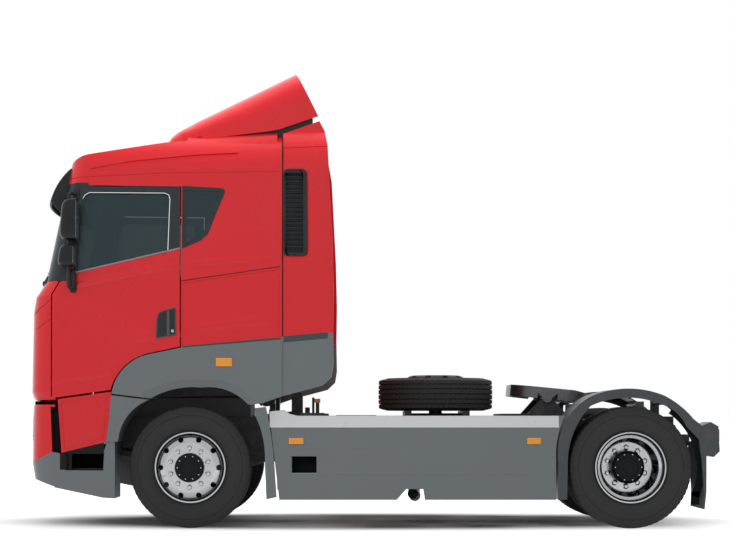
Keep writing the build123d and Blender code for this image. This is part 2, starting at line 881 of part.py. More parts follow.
def outward(shape, centre_x, centre_y):
    """Wheel piece made about the Y axis, set at a wheel's centre with its +Y face outwards."""
    facing = Rot(0, 0, 180) if centre_y < 0 else Rot(0, 0, 0)
    return Pos(centre_x, centre_y, axle_z) * facing * shape


hub_start = -15.0
front_hub = turned(
    [
        (spindle_radius + shaft_clearance, hub_start),
        (brake_radius, hub_start),
        (brake_radius, hub_start + 18),
        (hub_radius, hub_start + 30),
        (hub_radius, rim_offset),
        (hub_radius, rim_offset + hub_cap_depth - 12),
        (hub_radius - 12, rim_offset + hub_cap_depth),
        (0.0, rim_offset + hub_cap_depth),
        (0.0, rim_offset),
        (spindle_radius + shaft_clearance, rim_offset),
    ]
)
front_hub = front_hub + ring(brake_radius, brake_radius - 60, (hub_start - 40, hub_start + 1))
front_rim = main_solid(rim(hub_radius - 1) + front_hub)
plain_tyre = tyre()
single_rim = rim(rear_hub_radius + 1)

# the rear pair: two wheels bolted disc to disc on a hub with its brake drum
twin_inner_y = rear_disc_y - rim_offset
twin_outer_y = rear_disc_y + rim_offset
rear_hub = turned(
    [
        (rear_spindle_radius + shaft_clearance, 620.0),
        (brake_radius, 620.0),
        (brake_radius, 850.0),
        (rear_hub_radius, 870.0),
        (rear_hub_radius, 1050.0),
        (rear_hub_radius - 24, 1078.0),
        (0.0, 1078.0),
        (0.0, 1040.0),
        (rear_spindle_radius + shaft_clearance, 1040.0),
    ]
)
twin_rim = Pos(0, twin_inner_y, 0) * rim(rear_hub_radius - 1)
twin_rim = twin_rim + Pos(0, twin_outer_y, 0) * Rot(0, 0, 180) * rim(rear_hub_radius - 1)
twin_rim = main_solid(twin_rim + rear_hub)
twin_tyres = solids_of(Pos(0, twin_inner_y, 0) * plain_tyre, Pos(0, twin_outer_y, 0) * plain_tyre)
rear_place = Pos(rear_axle_x, 0, axle_z)

# --- front axle and steering ------------------------------------------------------------------------
beam_top = 535.0
beam_bottom = 440.0
eye_radius = 50.0
eye_half = 62.0
beam = block((-45, 45), (-kingpin_y + 30, kingpin_y - 30), (beam_bottom, beam_top))
beam = beam - block((-46, -20), (-820, 820), (beam_bottom + 24, beam_top - 24))
beam = beam - block((20, 46), (-820, 820), (beam_bottom + 24, beam_top - 24))
for side in (-1, 1):
    end_y = (side * (kingpin_y - 110), side * (kingpin_y - 20))
    beam = beam - block((-50, 50), end_y, (400, axle_z - eye_half))
front_axle = beam
knuckles = []
for side in (-1, 1):
    pin_y = side * kingpin_y
    front_axle = front_axle + rod(
        eye_radius, (0, pin_y, axle_z - eye_half), (0, pin_y, axle_z + eye_half)
    )
    front_axle = front_axle + rod(kingpin_radius, (0, pin_y, axle_z - 118), (0, pin_y, axle_z + 118))
    plate_y = (side * (front_tyre_y - 20), side * (front_tyre_y - 62))
    fork = block((-55, 55), plate_y, (axle_z - 118, axle_z + 118))
    for low, high in ((-118, -68), (68, 118)):
        fork = fork + rod(54.0, (0, pin_y, axle_z + low), (0, pin_y, axle_z + high))
        lug_y = (pin_y, side * (front_tyre_y - 61))
        fork = fork + block((-54, 54), lug_y, (axle_z + low, axle_z + high))
    spindle_end = side * (front_tyre_y + rim_offset - 5)
    fork = fork + rod(spindle_radius, (0, side * (front_tyre_y - 21), axle_z), (0, spindle_end, axle_z))
    pin_bore = rod(
        kingpin_radius + shaft_clearance, (0, pin_y, axle_z - 130), (0, pin_y, axle_z + 130)
    )
    knuckles.append(main_solid(fork - pin_bore))
front_axle = main_solid(front_axle)

spring_y = (-rail_outer_y, rail_flange - rail_outer_y)
spring = side_plate(
    [
        (-770.0, 640.0),
        ((0.0, beam_top), (770.0, 640.0)),
        (800.0, 640.0),
        (800.0, rail_bottom),
        (740.0, rail_bottom),
        ((0.0, beam_top + 45), (-740.0, rail_bottom)),
        (-800.0, rail_bottom),
        (-800.0, 640.0),
    ],
    spring_y,
)
front_springs = pair(spring - front_axle)

# --- ladder frame -----------------------------------------------------------------------------------
rail_rear = rear_axle_x + rail_rear_overhang
rail = block((rail_front, rail_rear), (-rail_outer_y, rail_flange - rail_outer_y), (rail_bottom, rail_top))
rail = rail - block(
    (rail_front - 1, rail_rear + 1),
    (rail_web - rail_outer_y, rail_flange - rail_outer_y + 1),
    (rail_bottom + rail_web, rail_top - rail_web),
)
frame = rail + mirrored(rail)
web_y = rail_outer_y - rail_web
crossmember_depth = 70.0
for member_x in (-1085.0, 1300.0, 2330.0, 3080.0, 3330.0, rail_rear - 36):
    span_x = (member_x - crossmember_depth / 2, member_x + crossmember_depth / 2)
    member = block(span_x, (-web_y - 1, web_y + 1), (rail_top - 140, rail_top - 15))
    hollow_x = (span_x[0] + 10, span_x[1] + 1)
    member = member - block(hollow_x, (-web_y, web_y), (rail_top - 130, rail_top - 25))
    frame = frame + member
bridge_z = tilt_pivot_z - 60
for side in (-1, 1):
    for plate_low in (tilt_arm_y - arm_half - 25, tilt_arm_y + arm_half + 5):
        cheek_y = (side * plate_low, side * (plate_low + 20))
        cheek_rear = -1000 if plate_low < tilt_arm_y else tilt_pivot_x + 60
        frame = frame + block((tilt_pivot_x - 50, cheek_rear), cheek_y, (bridge_z - 30, tilt_pivot_z + 50))
    bridge_y = (side * (tilt_arm_y - arm_half - 25), side * (tilt_arm_y + arm_half + 25))
    frame = frame + block((tilt_pivot_x - 50, tilt_pivot_x + 60), bridge_y, (bridge_z - 30, bridge_z))
    root_y = (side * (rail_outer_y - 1), side * (tilt_arm_y - arm_half - 24))
    frame = frame + block((rail_front, -1000), root_y, (rail_bottom + 10, tilt_pivot_z + 50))
    frame = frame + rod(
        tilt_pin_radius,
        (tilt_pivot_x, side * (tilt_arm_y - arm_half - 24), tilt_pivot_z),
        (tilt_pivot_x, side * (tilt_arm_y + arm_half + 24), tilt_pivot_z),
    )
ladder_frame = main_solid(frame)

# cab rests: a goalpost on the rails under the cab's back edge, with a pad under each cab beam
rest_x = (648.0, 700.0)
rest_post_y = (-rail_outer_y - 60, -rail_outer_y)
cab_rest = block(rest_x, rest_post_y, (rail_bottom + 120, 1100))
cab_rest = cab_rest + block(rest_x, (-tilt_arm_y - 45, -rail_outer_y + 5), (1070, 1110))
cab_rest = cab_rest + rod(
    26.0, (674, -tilt_arm_y, 1105), (674, -tilt_arm_y, cab_rest_z - seat_gap)
)
cab_rest = main_solid(cab_rest)

# --- engine, driveline and rear axle ----------------------------------------------------------------
engine_x = (-690.0, 470.0)
engine_half_width = 330.0
engine = block(engine_x, (-engine_half_width, engine_half_width), (590.0, 1170.0))
engine = chamfer(engine.edges().filter_by(Axis.X), 45)
engine_feet = block((-400, -300), (-web_y, -engine_half_width), (760, 860))
engine_feet = engine_feet + block((300, 400), (-web_y, -engine_half_width), (760, 860))
engine_feet = pair(engine_feet)
engine = engine + engine_feet
radiator = block((-1045.0, -955.0), (-335, 335), (620.0, 1160.0))
radiator = radiator + block((-1010, -990), (-web_y, web_y), (700, 740))
radiator_fan = rod(250.0, (-955, 0, 880), (-900, 0, 880)) + rod(45.0, (-901, 0, 880), (-690, 0, 880))

gearbox_z = 740.0
shaft_start = (1130.0, 0.0, gearbox_z)
gearbox = Pos(engine_x[1], 0, gearbox_z) * Rot(0, 90, 0) * Cone(235, 175, 180, align=(
    Align.CENTER, Align.CENTER, Align.MIN
))
gearbox = gearbox + block((649, 1000), (-175, 175), (gearbox_z - 190, gearbox_z + 150))
gearbox = gearbox + rod(80.0, (999, 0, gearbox_z), shaft_start)
gearbox_hanger = block((900, 960), (-web_y, web_y), (gearbox_z - 20, gearbox_z + 20))
gearbox = main_solid(gearbox + gearbox_hanger)
axle_tube_radius = 76.0
housing_end_y = 605.0
rear_axle = rod(axle_tube_radius, (rear_axle_x, -housing_end_y, axle_z), (rear_axle_x, housing_end_y, axle_z))
rear_axle = rear_axle + rod(rear_spindle_radius, (rear_axle_x, -1034, axle_z), (rear_axle_x, 1034, axle_z))
rear_axle = rear_axle + Pos(rear_axle_x, 0, axle_z) * Sphere(205)
nose_start = (rear_axle_x - 300, 0.0, axle_z + 52)
rear_axle = rear_axle + rod(105.0, nose_start, (rear_axle_x - 60, 0.0, axle_z + 12))
rear_axle = main_solid(rear_axle)
nose_axis = (Vector(*nose_start) - Vector(rear_axle_x - 60, 0.0, axle_z + 12)).normalized()
front_joint = Vector(shaft_start[0] + 90, 0, gearbox_z)
rear_joint = Vector(*nose_start) + nose_axis * 90
propshaft = rod(55.0, front_joint, rear_joint)
propshaft = propshaft + rod(72.0, shaft_start, front_joint) + rod(72.0, nose_start, rear_joint)
propshaft = main_solid(propshaft)

arm_y = (-548.0, -470.0)
arm_low = axle_z - axle_tube_radius - 52
bellows_x = rear_axle_x + 420
bellows_y = -440.0
link = block((rear_axle_x - 700, rear_axle_x + 540), arm_y, (arm_low, axle_z - axle_tube_radius))
link = link + block((rear_axle_x - 95, rear_axle_x + 95), arm_y, (arm_low + 10, axle_z + 20))
link = link + block((rear_axle_x - 740, rear_axle_x - 640), arm_y, (arm_low - 20, rail_bottom + 120))
link = link + block((rear_axle_x - 740, rear_axle_x - 640), (-471, -rail_outer_y), (rail_bottom, rail_bottom + 120))
bellows_z = axle_z - axle_tube_radius
for low, high, radius in ((0, 26, 78), (26, 110, 112), (110, 128, 96), (128, 214, 112), (214, 234, 92)):
    top = min(bellows_z + high, rail_bottom)
    link = link + rod(radius, (bellows_x, bellows_y, bellows_z + low - 1), (bellows_x, bellows_y, top))
link = main_solid(link - rear_axle)
rear_links = pair(link)

# --- tank, silencer and boxes hung outside the rails --------------------------------------------------
tank_y = (560.0, 1150.0)
tank_x = (1250.0, 2350.0)
tank_z = (400.0, 820.0)
fuel_tank = block(tank_x, tank_y, tank_z)
fuel_tank = fillet(fuel_tank.edges().filter_by(Axis.X), 90)
for strap_x in (1480.0, 2120.0):
    hanger = block((strap_x - 25, strap_x + 25), (rail_outer_y, 600), (rail_bottom + 20, rail_bottom + 110))
    fuel_tank = fuel_tank + hanger
fuel_tank = main_solid(fuel_tank)
silencer = block((1480.0, 2060.0), (-1130.0, -560.0), (400.0, 820.0))
silencer = fillet(silencer.edges().filter_by(Axis.Z), 60)
for strap_x in (1600.0, 1940.0):
    hanger = block((strap_x - 25, strap_x + 25), (-600, -rail_outer_y), (rail_bottom + 20, rail_bottom + 110))
    silencer = silencer + hanger
pipe_x = 1921.0
pipe_z = 285.0
pipe_radius = 51.0
pipe_bend_y = -960.0
pipe_end_y = -1160.0
silencer = silencer + rod(pipe_radius, (pipe_x, pipe_bend_y, 405), (pipe_x, pipe_bend_y, pipe_z))
silencer = silencer + Pos(pipe_x, pipe_bend_y, pipe_z) * Sphere(pipe_radius)
silencer = silencer + rod(pipe_radius, (pipe_x, pipe_bend_y, pipe_z), (pipe_x, pipe_end_y, pipe_z))
silencer = silencer - rod(pipe_radius - 4, (pipe_x, pipe_end_y + 150, pipe_z), (pipe_x, pipe_end_y - 1, pipe_z))
silencer = main_solid(silencer)
battery_box = block((2240.0, 2820.0), (-1120.0, -560.0), (430.0, 790.0))
for strap_x in (2340.0, 2720.0):
    hanger = block((strap_x - 25, strap_x + 25), (-561, -rail_outer_y), (rail_bottom + 20, rail_bottom + 90))
    battery_box = battery_box + hanger
battery_box = main_solid(battery_box)
air_tank = rod(120.0, (2480, 640, 700), (3000, 640, 700)) + rod(120.0, (2480, 900, 700), (3000, 900, 700))
for strap_x in (2580.0, 2880.0):
    air_tank = air_tank + block((strap_x - 20, strap_x + 20), (rail_outer_y, 1000), (818, 830))
    air_tank = air_tank + block((strap_x - 20, strap_x + 20), (rail_outer_y, rail_outer_y + 20), (700, 830))
    air_tank = air_tank + block((strap_x - 20, strap_x + 20), (630, 650), (800, 830))
    air_tank = air_tank + block((strap_x - 20, strap_x + 20), (890, 910), (800, 830))
air_tank = main_solid(air_tank)

# --- bumper -------------------------------------------------------------------------------------------
bumper_top = 1041.0
bumper_split = 575.0
bumper_low = 418.0
bumper_sheet = 35.0
# columns: height, nose, half width
bumper_sections = [
    (bumper_low, -1450.0, cab_half_width),
    (bumper_split, -1474.0, cab_half_width),
    (bumper_top, -1464.0, cab_half_width),
]


def bumper_form(inset):
    """The bumper's outer form moved inwards by a distance, open above, below and behind."""
    wires = []
    for height, nose, half_width in bumper_sections:
        level = height
        if inset:
            level = height + (0 if height == bumper_split else math.copysign(20, height - bumper_split))
        wires.append(plan_section(level, nose, half_width, 0.0, cab_bow, cab_corner, inset))
    return Solid.make_loft(wires, ruled=True)


bumper_inner = bumper_form(bumper_sheet)
bumper_wall = bumper_form(0.0) - bumper_inner
upper_reach = side_plate(
    [
        (-1600.0, bumper_split),
        (-1330.0, bumper_split),
        (-1165.0, 655.0),
        (-1179.0, bumper_top),
        (-1600.0, bumper_top),
    ],
    (-1300, 1300),
)
lower_reach = side_plate(
    [
        (-1600.0, bumper_low),
        (-1310.0, bumper_low),
        (-1145.0, 362.0),
        (-1145.0, 655.0),
        (-1165.0, 655.0),
        (-1330.0, bumper_split),
        (-1600.0, bumper_split),
    ],
    (-1300, 1300),
)
lamp_y = (690.0, 1060.0)
lamp_z = (770.0, 950.0)
lamp_hole = block((-1600, -1100), (-lamp_y[1], -lamp_y[0]), lamp_z)
lamp_hole = fillet(lamp_hole.edges().filter_by(Axis.X), 40)
intake = block((-1600, -1300), (-560, 560), (640, 760))
intake = fillet(intake.edges().filter_by(Axis.X), 30)
bumper = (bumper_wall & upper_reach) - lamp_hole - mirrored(lamp_hole) - intake
bumper = main_solid(bumper)
headlamps = pair(main_solid(bumper_wall & lamp_hole))
lip_wires = [
    plan_section(300.0, -1437.0, cab_half_width, 0.0, cab_bow, cab_corner, 0.0),
    plan_section(bumper_low, -1450.0, cab_half_width, 0.0, cab_bow, cab_corner, 0.0),
    plan_section(bumper_split, -1474.0, cab_half_width, 0.0, cab_bow, cab_corner, 0.0),
    plan_section(700.0, -1474.0, cab_half_width, 0.0, cab_bow, cab_corner, 0.0),
]
lip_form = Solid.make_loft(lip_wires, ruled=True)
bumper_lip = main_solid((lip_form - bumper_inner - Pos(0, 0, -60) * bumper_inner) & lower_reach)
front_beam = block((-1190, -1125), (-1010, 1010), (450, 570))
for side in (-1, 1):
    horn_y = (side * rail_outer_y, side * (rail_outer_y - rail_flange))
    front_beam = front_beam + block((-1500, rail_front), horn_y, (690, 790))
    front_beam = front_beam + block((-1190, rail_front - 5), horn_y, (560, 700))
front_beam = main_solid(front_beam & (bumper_inner + block((-1200, -1000), (-1200, 1200), (400, 900))))

# --- steps, lower panels and the fixed parts of the front mudguards ---------------------------------
step_rear = -632.0
step_top = 745.0
panel_y = (-skirt_y, panel_sheet - skirt_y)
step_inner_y = 330 - cab_half_width
step_face = side_plate(
    [
        (-1145.0, 655.0),
        (-1088.0, 641.0),
        (-703.0, step_top),
        (step_rear, step_top),
        (step_rear, 261.0),
        (-733.0, 267.0),
        (-1145.0, 355.0),
    ],
    panel_y,
)
step_mouth = side_plate(
    [(-1063.0, 635.0), (-704.0, 729.0), (-721.0, 668.0), (-731.0, 498.0), (-1056.0, 501.0)],
    (-1300, panel_y[1] + 1),
)
step_box = step_face - step_mouth
step_box = step_box + block((-1085, -690), (panel_y[1] - 1, step_inner_y), (470, 500))
step_box = step_box + block((-1085, -690), (step_inner_y - 15, step_inner_y), (470, step_top - 70))
step_box = step_box + block((-1085, -1070), (panel_y[1] - 1, step_inner_y), (470, 639))
step_box = step_box + block((-690, -676), (panel_y[1] - 1, step_inner_y), (470, step_top - 10))
step_box = step_box + block((step_rear - 14, step_rear), (panel_y[1] - 1, -870), (262, step_top))
step_box = step_box + block((-677, step_rear - 13), (step_inner_y - 15, step_inner_y), (470, 500))
step_box = step_box + block((-900, -860), (step_inner_y - 1, -rail_outer_y), (600, 640))
step_box = step_box + block((-900, -860), (-rail_outer_y - 15, -rail_outer_y), (600, rail_bottom + 90))
step_boxes = pair(main_solid(step_box))

panel_edge = [(-703.0, step_top), (-677.0, 953.0), (-663.0, 1150.0)]
panel_corners = [(-1117.0, 1106.0), (-1084.0, 642.1), *panel_edge, (-664.0, 1169.0)]
panel_margin = 26.0
pressed_outline = [corner for corner in panel_corners if corner != panel_edge[-1]]
pressed = side_plate(grown(pressed_outline, -panel_margin), panel_y)
pressed = pressed - side_plate(grown(pressed_outline, -panel_margin - seam_width), panel_y)
pressed = pressed & block((-1300, -500), (panel_y[0], panel_y[0] + seam_depth), (500, 1300))
lower_panel = main_solid(side_plate(panel_corners, panel_y) - pressed)
lower_panels = pair(lower_panel)

leg_y = (arch_plate_span[0], wall_inner_y)
leg_top_rear = (-343.0, 1100.0)
leg_arc = ((-505.0, 985.0), (-603.0, step_top))
leg = side_plate(
    [
        panel_edge[0],
        panel_edge[1],
        (-662.0, 1140.0),
        leg_top_rear,
        leg_arc,
    ],
    leg_y,
)
leg_liner = side_plate(
    [
        leg_top_rear,
        leg_arc,
        (-617.0, step_top),
        ((-517.0, 993.0), (-352.0, 1112.0)),
    ],
    (leg_y[1] - 10, liner_inner_y),
)
leg_foot = block((-640, -604), (-1200, liner_inner_y), (step_top, step_top + 12))
quarter_flap = side_plate(
    [
        (560.0, 1030.0),
        (652.0, 1040.0),
        ((694.0, 820.0), (722.0, 578.0)),
        (744.0, 272.0),
        (657.0, 254.0),
        (645.0, 560.0),
        ((618.0, 820.0), (556.0, 980.0)),
    ],
    (arch_plate_span[0], -1215),
)
quarter_sheet = side_plate(
    [
        (556.0, 980.0),
        ((618.0, 820.0), (645.0, 560.0)),
        (657.0, 254.0),
        (669.0, 254.0),
        (657.0, 560.0),
        ((631.0, 822.0), (567.0, 986.0)),
    ],
    (-1216, liner_inner_y),
)
quarter_stay = block((596, 636), (-1230, -rail_outer_y), (900, 925))
front_mudguards = solids_of(
    pair(main_solid(leg + leg_liner + leg_foot)),
    pair(main_solid(quarter_flap + quarter_sheet + quarter_stay)),
)

# --- side fairings ------------------------------------------------------------------------------------
fairing_rear = rear_axle_x - 640
fairing_rear_mid = (rear_axle_x - 624, 790.0)
fairing_rear_top = (rear_axle_x - 562, fairing_top)
bevel_y = fairing_bevel_in - skirt_y
fairing_section = [
    (-skirt_y, fairing_bottom),
    (-skirt_y, fairing_bevel_z),
    (bevel_y, 1020.0),
    (bevel_y + fairing_sheet, 1020.0),
    (fairing_sheet - skirt_y, fairing_bevel_z - 4),
    (fairing_sheet - skirt_y, fairing_bottom + fairing_sheet),
    (fairing_sheet + 50 - skirt_y, fairing_bottom + fairing_sheet),
    (fairing_sheet + 50 - skirt_y, fairing_bottom),
]
fairing_outline = [
    (679.0, 1003.0),
    (807.0, 1014.0),
    (856.0, 981.0),
    (921.0, fairing_top),
    fairing_rear_top,
    (fairing_rear_mid, (fairing_rear, 620.0)),
    (fairing_rear, fairing_bottom),
    (766.0, fairing_bottom),
]
step_hole_x = (872.0, 1084.0)
step_hole_z = (476.0, 620.0)
fairing = front_plate(fairing_section, (600, rear_axle_x)) & side_plate(fairing_outline, side_span)
fairing = fairing - block(step_hole_x, side_span, step_hole_z)
pocket = block(
    (step_hole_x[0] - 8, step_hole_x[1] + 8),
    (fairing_sheet - skirt_y, -1090),
    (step_hole_z[0] - 8, step_hole_z[1] + 8),
)
fairing = fairing + (pocket - block(step_hole_x, (-1300, -1098), step_hole_z))
pipe_notch = side_plate(
    [
        (pipe_x - 160, fairing_bottom - 5),
        (pipe_x - 74, 341.0),
        (pipe_x + 70, 341.0),
        (pipe_x + 86, fairing_bottom - 5),
    ],
    side_span,
)
right_fairing = mirrored(main_solid(fairing))
left_fairing = main_solid(fairing - pipe_notch)
stays = []
for stay_x in (980.0, 2160.0, 3040.0):
    stay = block((stay_x - 18, stay_x + 18), (fairing_sheet - skirt_y, -rail_outer_y), (835, 858))
    stays.append(stay)
for stay in stays:
    left_fairing = left_fairing + stay
    right_fairing = right_fairing + mirrored(stay)
side_fairings = solids_of(left_fairing, right_fairing)
marker_x = ((848.0, 974.0), (rear_axle_x - 886, rear_axle_x - 767))
markers = []
for span_x in marker_x:
    marker = block(span_x, (-skirt_y - 14, -skirt_y), (721, 776))
    markers.append(fillet(marker.faces().sort_by(Axis.Y)[0].edges(), 8))
cab_marker = block((228, 368), (arch_plate_span[0] - 14, arch_plate_span[0]), (1382, 1456))
cab_marker = fillet(cab_marker.faces().sort_by(Axis.Y)[0].edges(), 8)
marker_lamps = pair(solids_of(*markers))
cab_markers = pair(cab_marker)

# --- deck, spare wheel ----------------------------------------------------------------------------------
deck_sheet = 12.0
deck = block((1240, 1600), (-rail_outer_y, rail_outer_y), (rail_top, rail_top + deck_sheet))
deck = deck - block((1290, 1550), (-330, -20), (900, 1000)) - block((1290, 1550), (20, 330), (900, 1000))
for bar_y in range(-300, 301, 50):
    deck = deck + block((1285, 1555), (bar_y - 5, bar_y + 5), (rail_top, rail_top + deck_sheet))
deck = main_solid(deck)

spare_x = 2146.0
spare_z = 1160.0
spare_place = Pos(spare_x, 0, spare_z) * Rot(90, 0, 0)
spare_tyre = spare_place * plain_tyre
spare_rim = spare_place * single_rim
carrier_top = spare_z - tyre_half - tyre_bulge - seat_gap
carrier = rod(60.0, (spare_x, 0, rail_top + 10), (spare_x, 0, spare_z + 60))
for offset_x in (-260.0, 260.0):
    span_x = (spare_x + offset_x - 30, spare_x + offset_x + 30)
    carrier = carrier + block(span_x, (-rail_outer_y, rail_outer_y), (rail_top, carrier_top))
carrier = carrier + block((spare_x - 261, spare_x + 261), (-30, 30), (rail_top, rail_top + 30))
spare_clamp = rod(150.0, (spare_x, 0, spare_z - rim_offset - 14), (spare_x, 0, spare_z - rim_offset))
carrier = main_solid(carrier + spare_clamp)

# --- fifth wheel ---------------------------------------------------------------------------------------
coupling_x = rear_axle_x - kingpin_lead
base_sheet = 25.0
saddle_y = (-400.0, -340.0)
plate_under = plate_rise - plate_thickness
base = block(
    (coupling_x - 420, coupling_x + 440), (-rail_outer_y, rail_outer_y), (rail_top, rail_top + base_sheet)
)
base = base - block((coupling_x - 250, coupling_x + 250), (-240, 240), (900, 1000))
base_top = rail_top + base_sheet
for side in (-1, 1):
    saddle = side_plate(
        [
            (coupling_x - 170, base_top),
            (coupling_x - 42, plate_pivot_z),
            ((coupling_x, plate_pivot_z + 42), (coupling_x + 42, plate_pivot_z)),
            (coupling_x + 170, base_top),
        ],
        (side * saddle_y[0], side * saddle_y[1]),
    )
    base = base + saddle
pin_line = ((coupling_x, -500, plate_pivot_z), (coupling_x, 500, plate_pivot_z))
base = main_solid(base - rod(plate_pin_radius + shaft_clearance, *pin_line))

horn_half = 208.0
throat_half = 32.0
plate_outline = [
    (-plate_front, -250.0),
    (-plate_front, 250.0),
    ((-220.0, 385.0), (-60.0, plate_half_width)),
    (150.0, plate_half_width),
    ((300.0, 415.0), (plate_rear, 330.0)),
    (plate_rear, horn_half),
    (120.0, throat_half),
    (0.0, throat_half),
    (0.0, -throat_half),
    (120.0, -throat_half),
    (plate_rear, -horn_half),
    (plate_rear, -330.0),
    ((300.0, -415.0), (150.0, -plate_half_width)),
    (-60.0, -plate_half_width),
    ((-220.0, -385.0), (-plate_front, -250.0)),
]
plate = plan_plate(plate_outline, (plate_under, plate_rise))
skirt_outer = plan_plate(plate_outline, (plate_under - 62, plate_under))
skirt_core = plan_plate(grown(plate_outline, -28.0), (plate_under - 70, plate_under + 1))
plate = plate + (skirt_outer - skirt_core - block((-90, 90), (-500, 500), (-200, plate_under)))
ramp = [(235.0, plate_rise + 1), (plate_rear + 1, plate_rise + 1), (plate_rear + 1, plate_rise - 26)]
plate = plate - side_plate(ramp, (-plate_half_width - 1, plate_half_width + 1))
jaw = block((-90, 60), (-110, 110), (plate_under - 45, plate_under))
plate = plate + jaw
plate = plate - Cylinder(jaw_radius, 400)
plate = plate - block((0, 70), (-jaw_radius, jaw_radius), (-100, 200))
for side in (-1, 1):
    for ear_y in ((300.0, 330.0), (408.0, 436.0)):
        ear = side_plate(
            [
                (-95.0, plate_under),
                (-44.0, 0.0),
                ((0.0, -44.0), (44.0, 0.0)),
                (95.0, plate_under),
            ],
            (side * ear_y[0], side * ear_y[1]),
        )
        plate = plate + ear
    plate = plate + rod(plate_pin_radius, (0, side * 301, 0), (0, side * 435, 0))
plate = main_solid(plate)
fifth_wheel_plate = Pos(coupling_x, 0, plate_pivot_z) * Rot(0, plate_rest_tilt, 0) * plate

# --- rear mudguards and lamps -----------------------------------------------------------------------
# columns: distance behind the rear axle, height
guard_outer = [
    (-624.0, 251.0),
    (-618.0, 563.0),
    ((-530.0, 963.0), (-344.0, 1130.0)),
    ((-46.0, 1196.0), (280.0, 1137.0)),
    ((416.0, 1049.0), (529.0, 937.0)),
    (600.0, 880.0),
]
guard_inner_back = [
    (576.0, 760.0),
    (467.0, 875.0),
    ((380.0, 992.0), (255.0, 1062.0)),
    ((-46.0, 1118.0), (-344.0, 1049.0)),
    ((-480.0, 850.0), (-541.0, 563.0)),
    (-546.0, 251.0),
]
guard_under = [
    (594.0, 873.0),
    (522.0, 930.0),
    ((410.0, 1041.0), (275.0, 1128.0)),
    ((-46.0, 1186.0), (-340.0, 1121.0)),
    ((-522.0, 957.0), (-608.0, 562.0)),
    (-614.0, 251.0),
]
to_rear = Pos(rear_axle_x, 0, 0)
guard_lip = side_plate([*guard_outer, *guard_inner_back], (-skirt_y - 8, -skirt_y + 8))
guard_sheet = side_plate([*guard_outer, *guard_under], (-skirt_y, -mudguard_inner_y))
guard = guard_lip + guard_sheet
for stay_x, stay_z in ((-430.0, 1050.0), (330.0, 1080.0)):
    guard = guard + rod(20.0, (stay_x, -skirt_y + 4, stay_z), (stay_x, 20 - rail_outer_y, stay_z))
    guard = guard + block((stay_x - 40, stay_x + 40), (-rail_outer_y - 12, -rail_outer_y), (860, stay_z + 22))
rear_mudguards = pair(to_rear * main_solid(guard))

tail = side_plate(
    [
        (600.0, 880.0),
        (676.0, 912.0),
        (741.0, 875.0),
        (753.0, 662.0),
        (702.0, 613.0),
        (590.0, 640.0),
        (576.0, 760.0),
    ],
    (-skirt_y, -860),
)
tail_sheet = side_plate(
    [
        (590.0, 700.0),
        (606.0, 500.0),
        (618.0, 314.0),
        (612.0, 170.0),
        (624.0, 168.0),
        (640.0, 314.0),
        (640.0, 500.0),
        (640.0, 700.0),
    ],
    (-skirt_y, -mudguard_inner_y),
)
tail_stay = block((600, 640), (-861, -rail_outer_y), (700, 740))
tail_bracket = block((460, 640), (-rail_outer_y - 15, -rail_outer_y), (700, 800))
tail_lamps = pair(to_rear * main_solid(tail + tail_sheet + tail_stay + tail_bracket))

# --- export ------------------------------------------------------------------------------------------------
fork_left, fork_right = knuckles
nodes = {
    "ladder_frame": solids_of(ladder_frame + front_beam + pair(cab_rest)),
    "front_axle": front_axle,
    "front_springs": front_springs,
    "rear_axle": rear_axle,
    "rear_air_suspension": rear_links,
    "engine_block": engine,
    "radiator": solids_of(radiator, radiator_fan),
    "gearbox_and_propshaft": solids_of(gearbox, propshaft),
    "fuel_tank": fuel_tank,
    "silencer": silencer,
    "battery_box": battery_box,
    "air_tanks": air_tank,
    "bumper": bumper,
    "bumper_lip": bumper_lip,
    "headlamps": headlamps,
    "step_boxes": step_boxes,
    "lower_side_panels": lower_panels,
    "front_mudguards": front_mudguards,
    "side_fairings": side_fairings,
    "marker_lamps": marker_lamps,
    "deck_plate": deck,
    "spare_carrier": carrier,
    "spare_tyre": spare_tyre,
    "spare_rim": spare_rim,
    "fifth_wheel_base": base,
    "rear_mudguards": rear_mudguards,
    "tail_lamp_carriers": tail_lamps,
    "cab_shell": cab_shell,
    "cab_beams": cab_beams,
    "cab_glass": solids_of(windscreen, pair(quarter_glass)),
    "cab_skirts": cab_skirts,
    "cab_markers": cab_markers,
    "side_extenders": pair(extender),
    "roof_deflector": deflector,
    "sun_visor": visor,
    "grilles": solids_of(grille, pair(louvre)),
    "dashboard": solids_of(dash, steering_column),
    "seats": pair(seat),
    "bunk": bunk,
    "steering_wheel": steering_wheel,
    "door_left": door_left,
    "door_glass_left": door_glass,
    "mirrors_left": mirror_left,
    "door_right": mirrored(door_left),
    "door_glass_right": mirrored(door_glass),
    "mirrors_right": mirrored(mirror_left),
    "knuckle_left": fork_left,
    "knuckle_right": fork_right,
    "front_tyre_left": outward(plain_tyre, 0, -front_tyre_y),
    "front_rim_left": outward(front_rim, 0, -front_tyre_y),
    "front_tyre_right": outward(plain_tyre, 0, front_tyre_y),
    "front_rim_right": outward(front_rim, 0, front_tyre_y),
    "rear_tyres_left": outward(twin_tyres, rear_axle_x, -0.001),
    "rear_rims_left": outward(twin_rim, rear_axle_x, -0.001),
    "rear_tyres_right": rear_place * twin_tyres,
    "rear_rims_right": rear_place * twin_rim,
    "fifth_wheel_plate": fifth_wheel_plate,
}

whole = Compound([solid for shape in nodes.values() for solid in shape.solids()])
middle_x = whole.bounding_box().center().X
print("middle of the vehicle, behind the front axle:", round(middle_x, 3))
os.makedirs("parts", exist_ok=True)
for name, shape in nodes.items():
    export_step(Pos(-middle_x, 0, 0) * solids_of(shape), f"parts/{name}.step")
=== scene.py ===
"""Looks of a cab-over tractor unit: finishes, tyres, wheels, trim, lamps and cab furniture."""

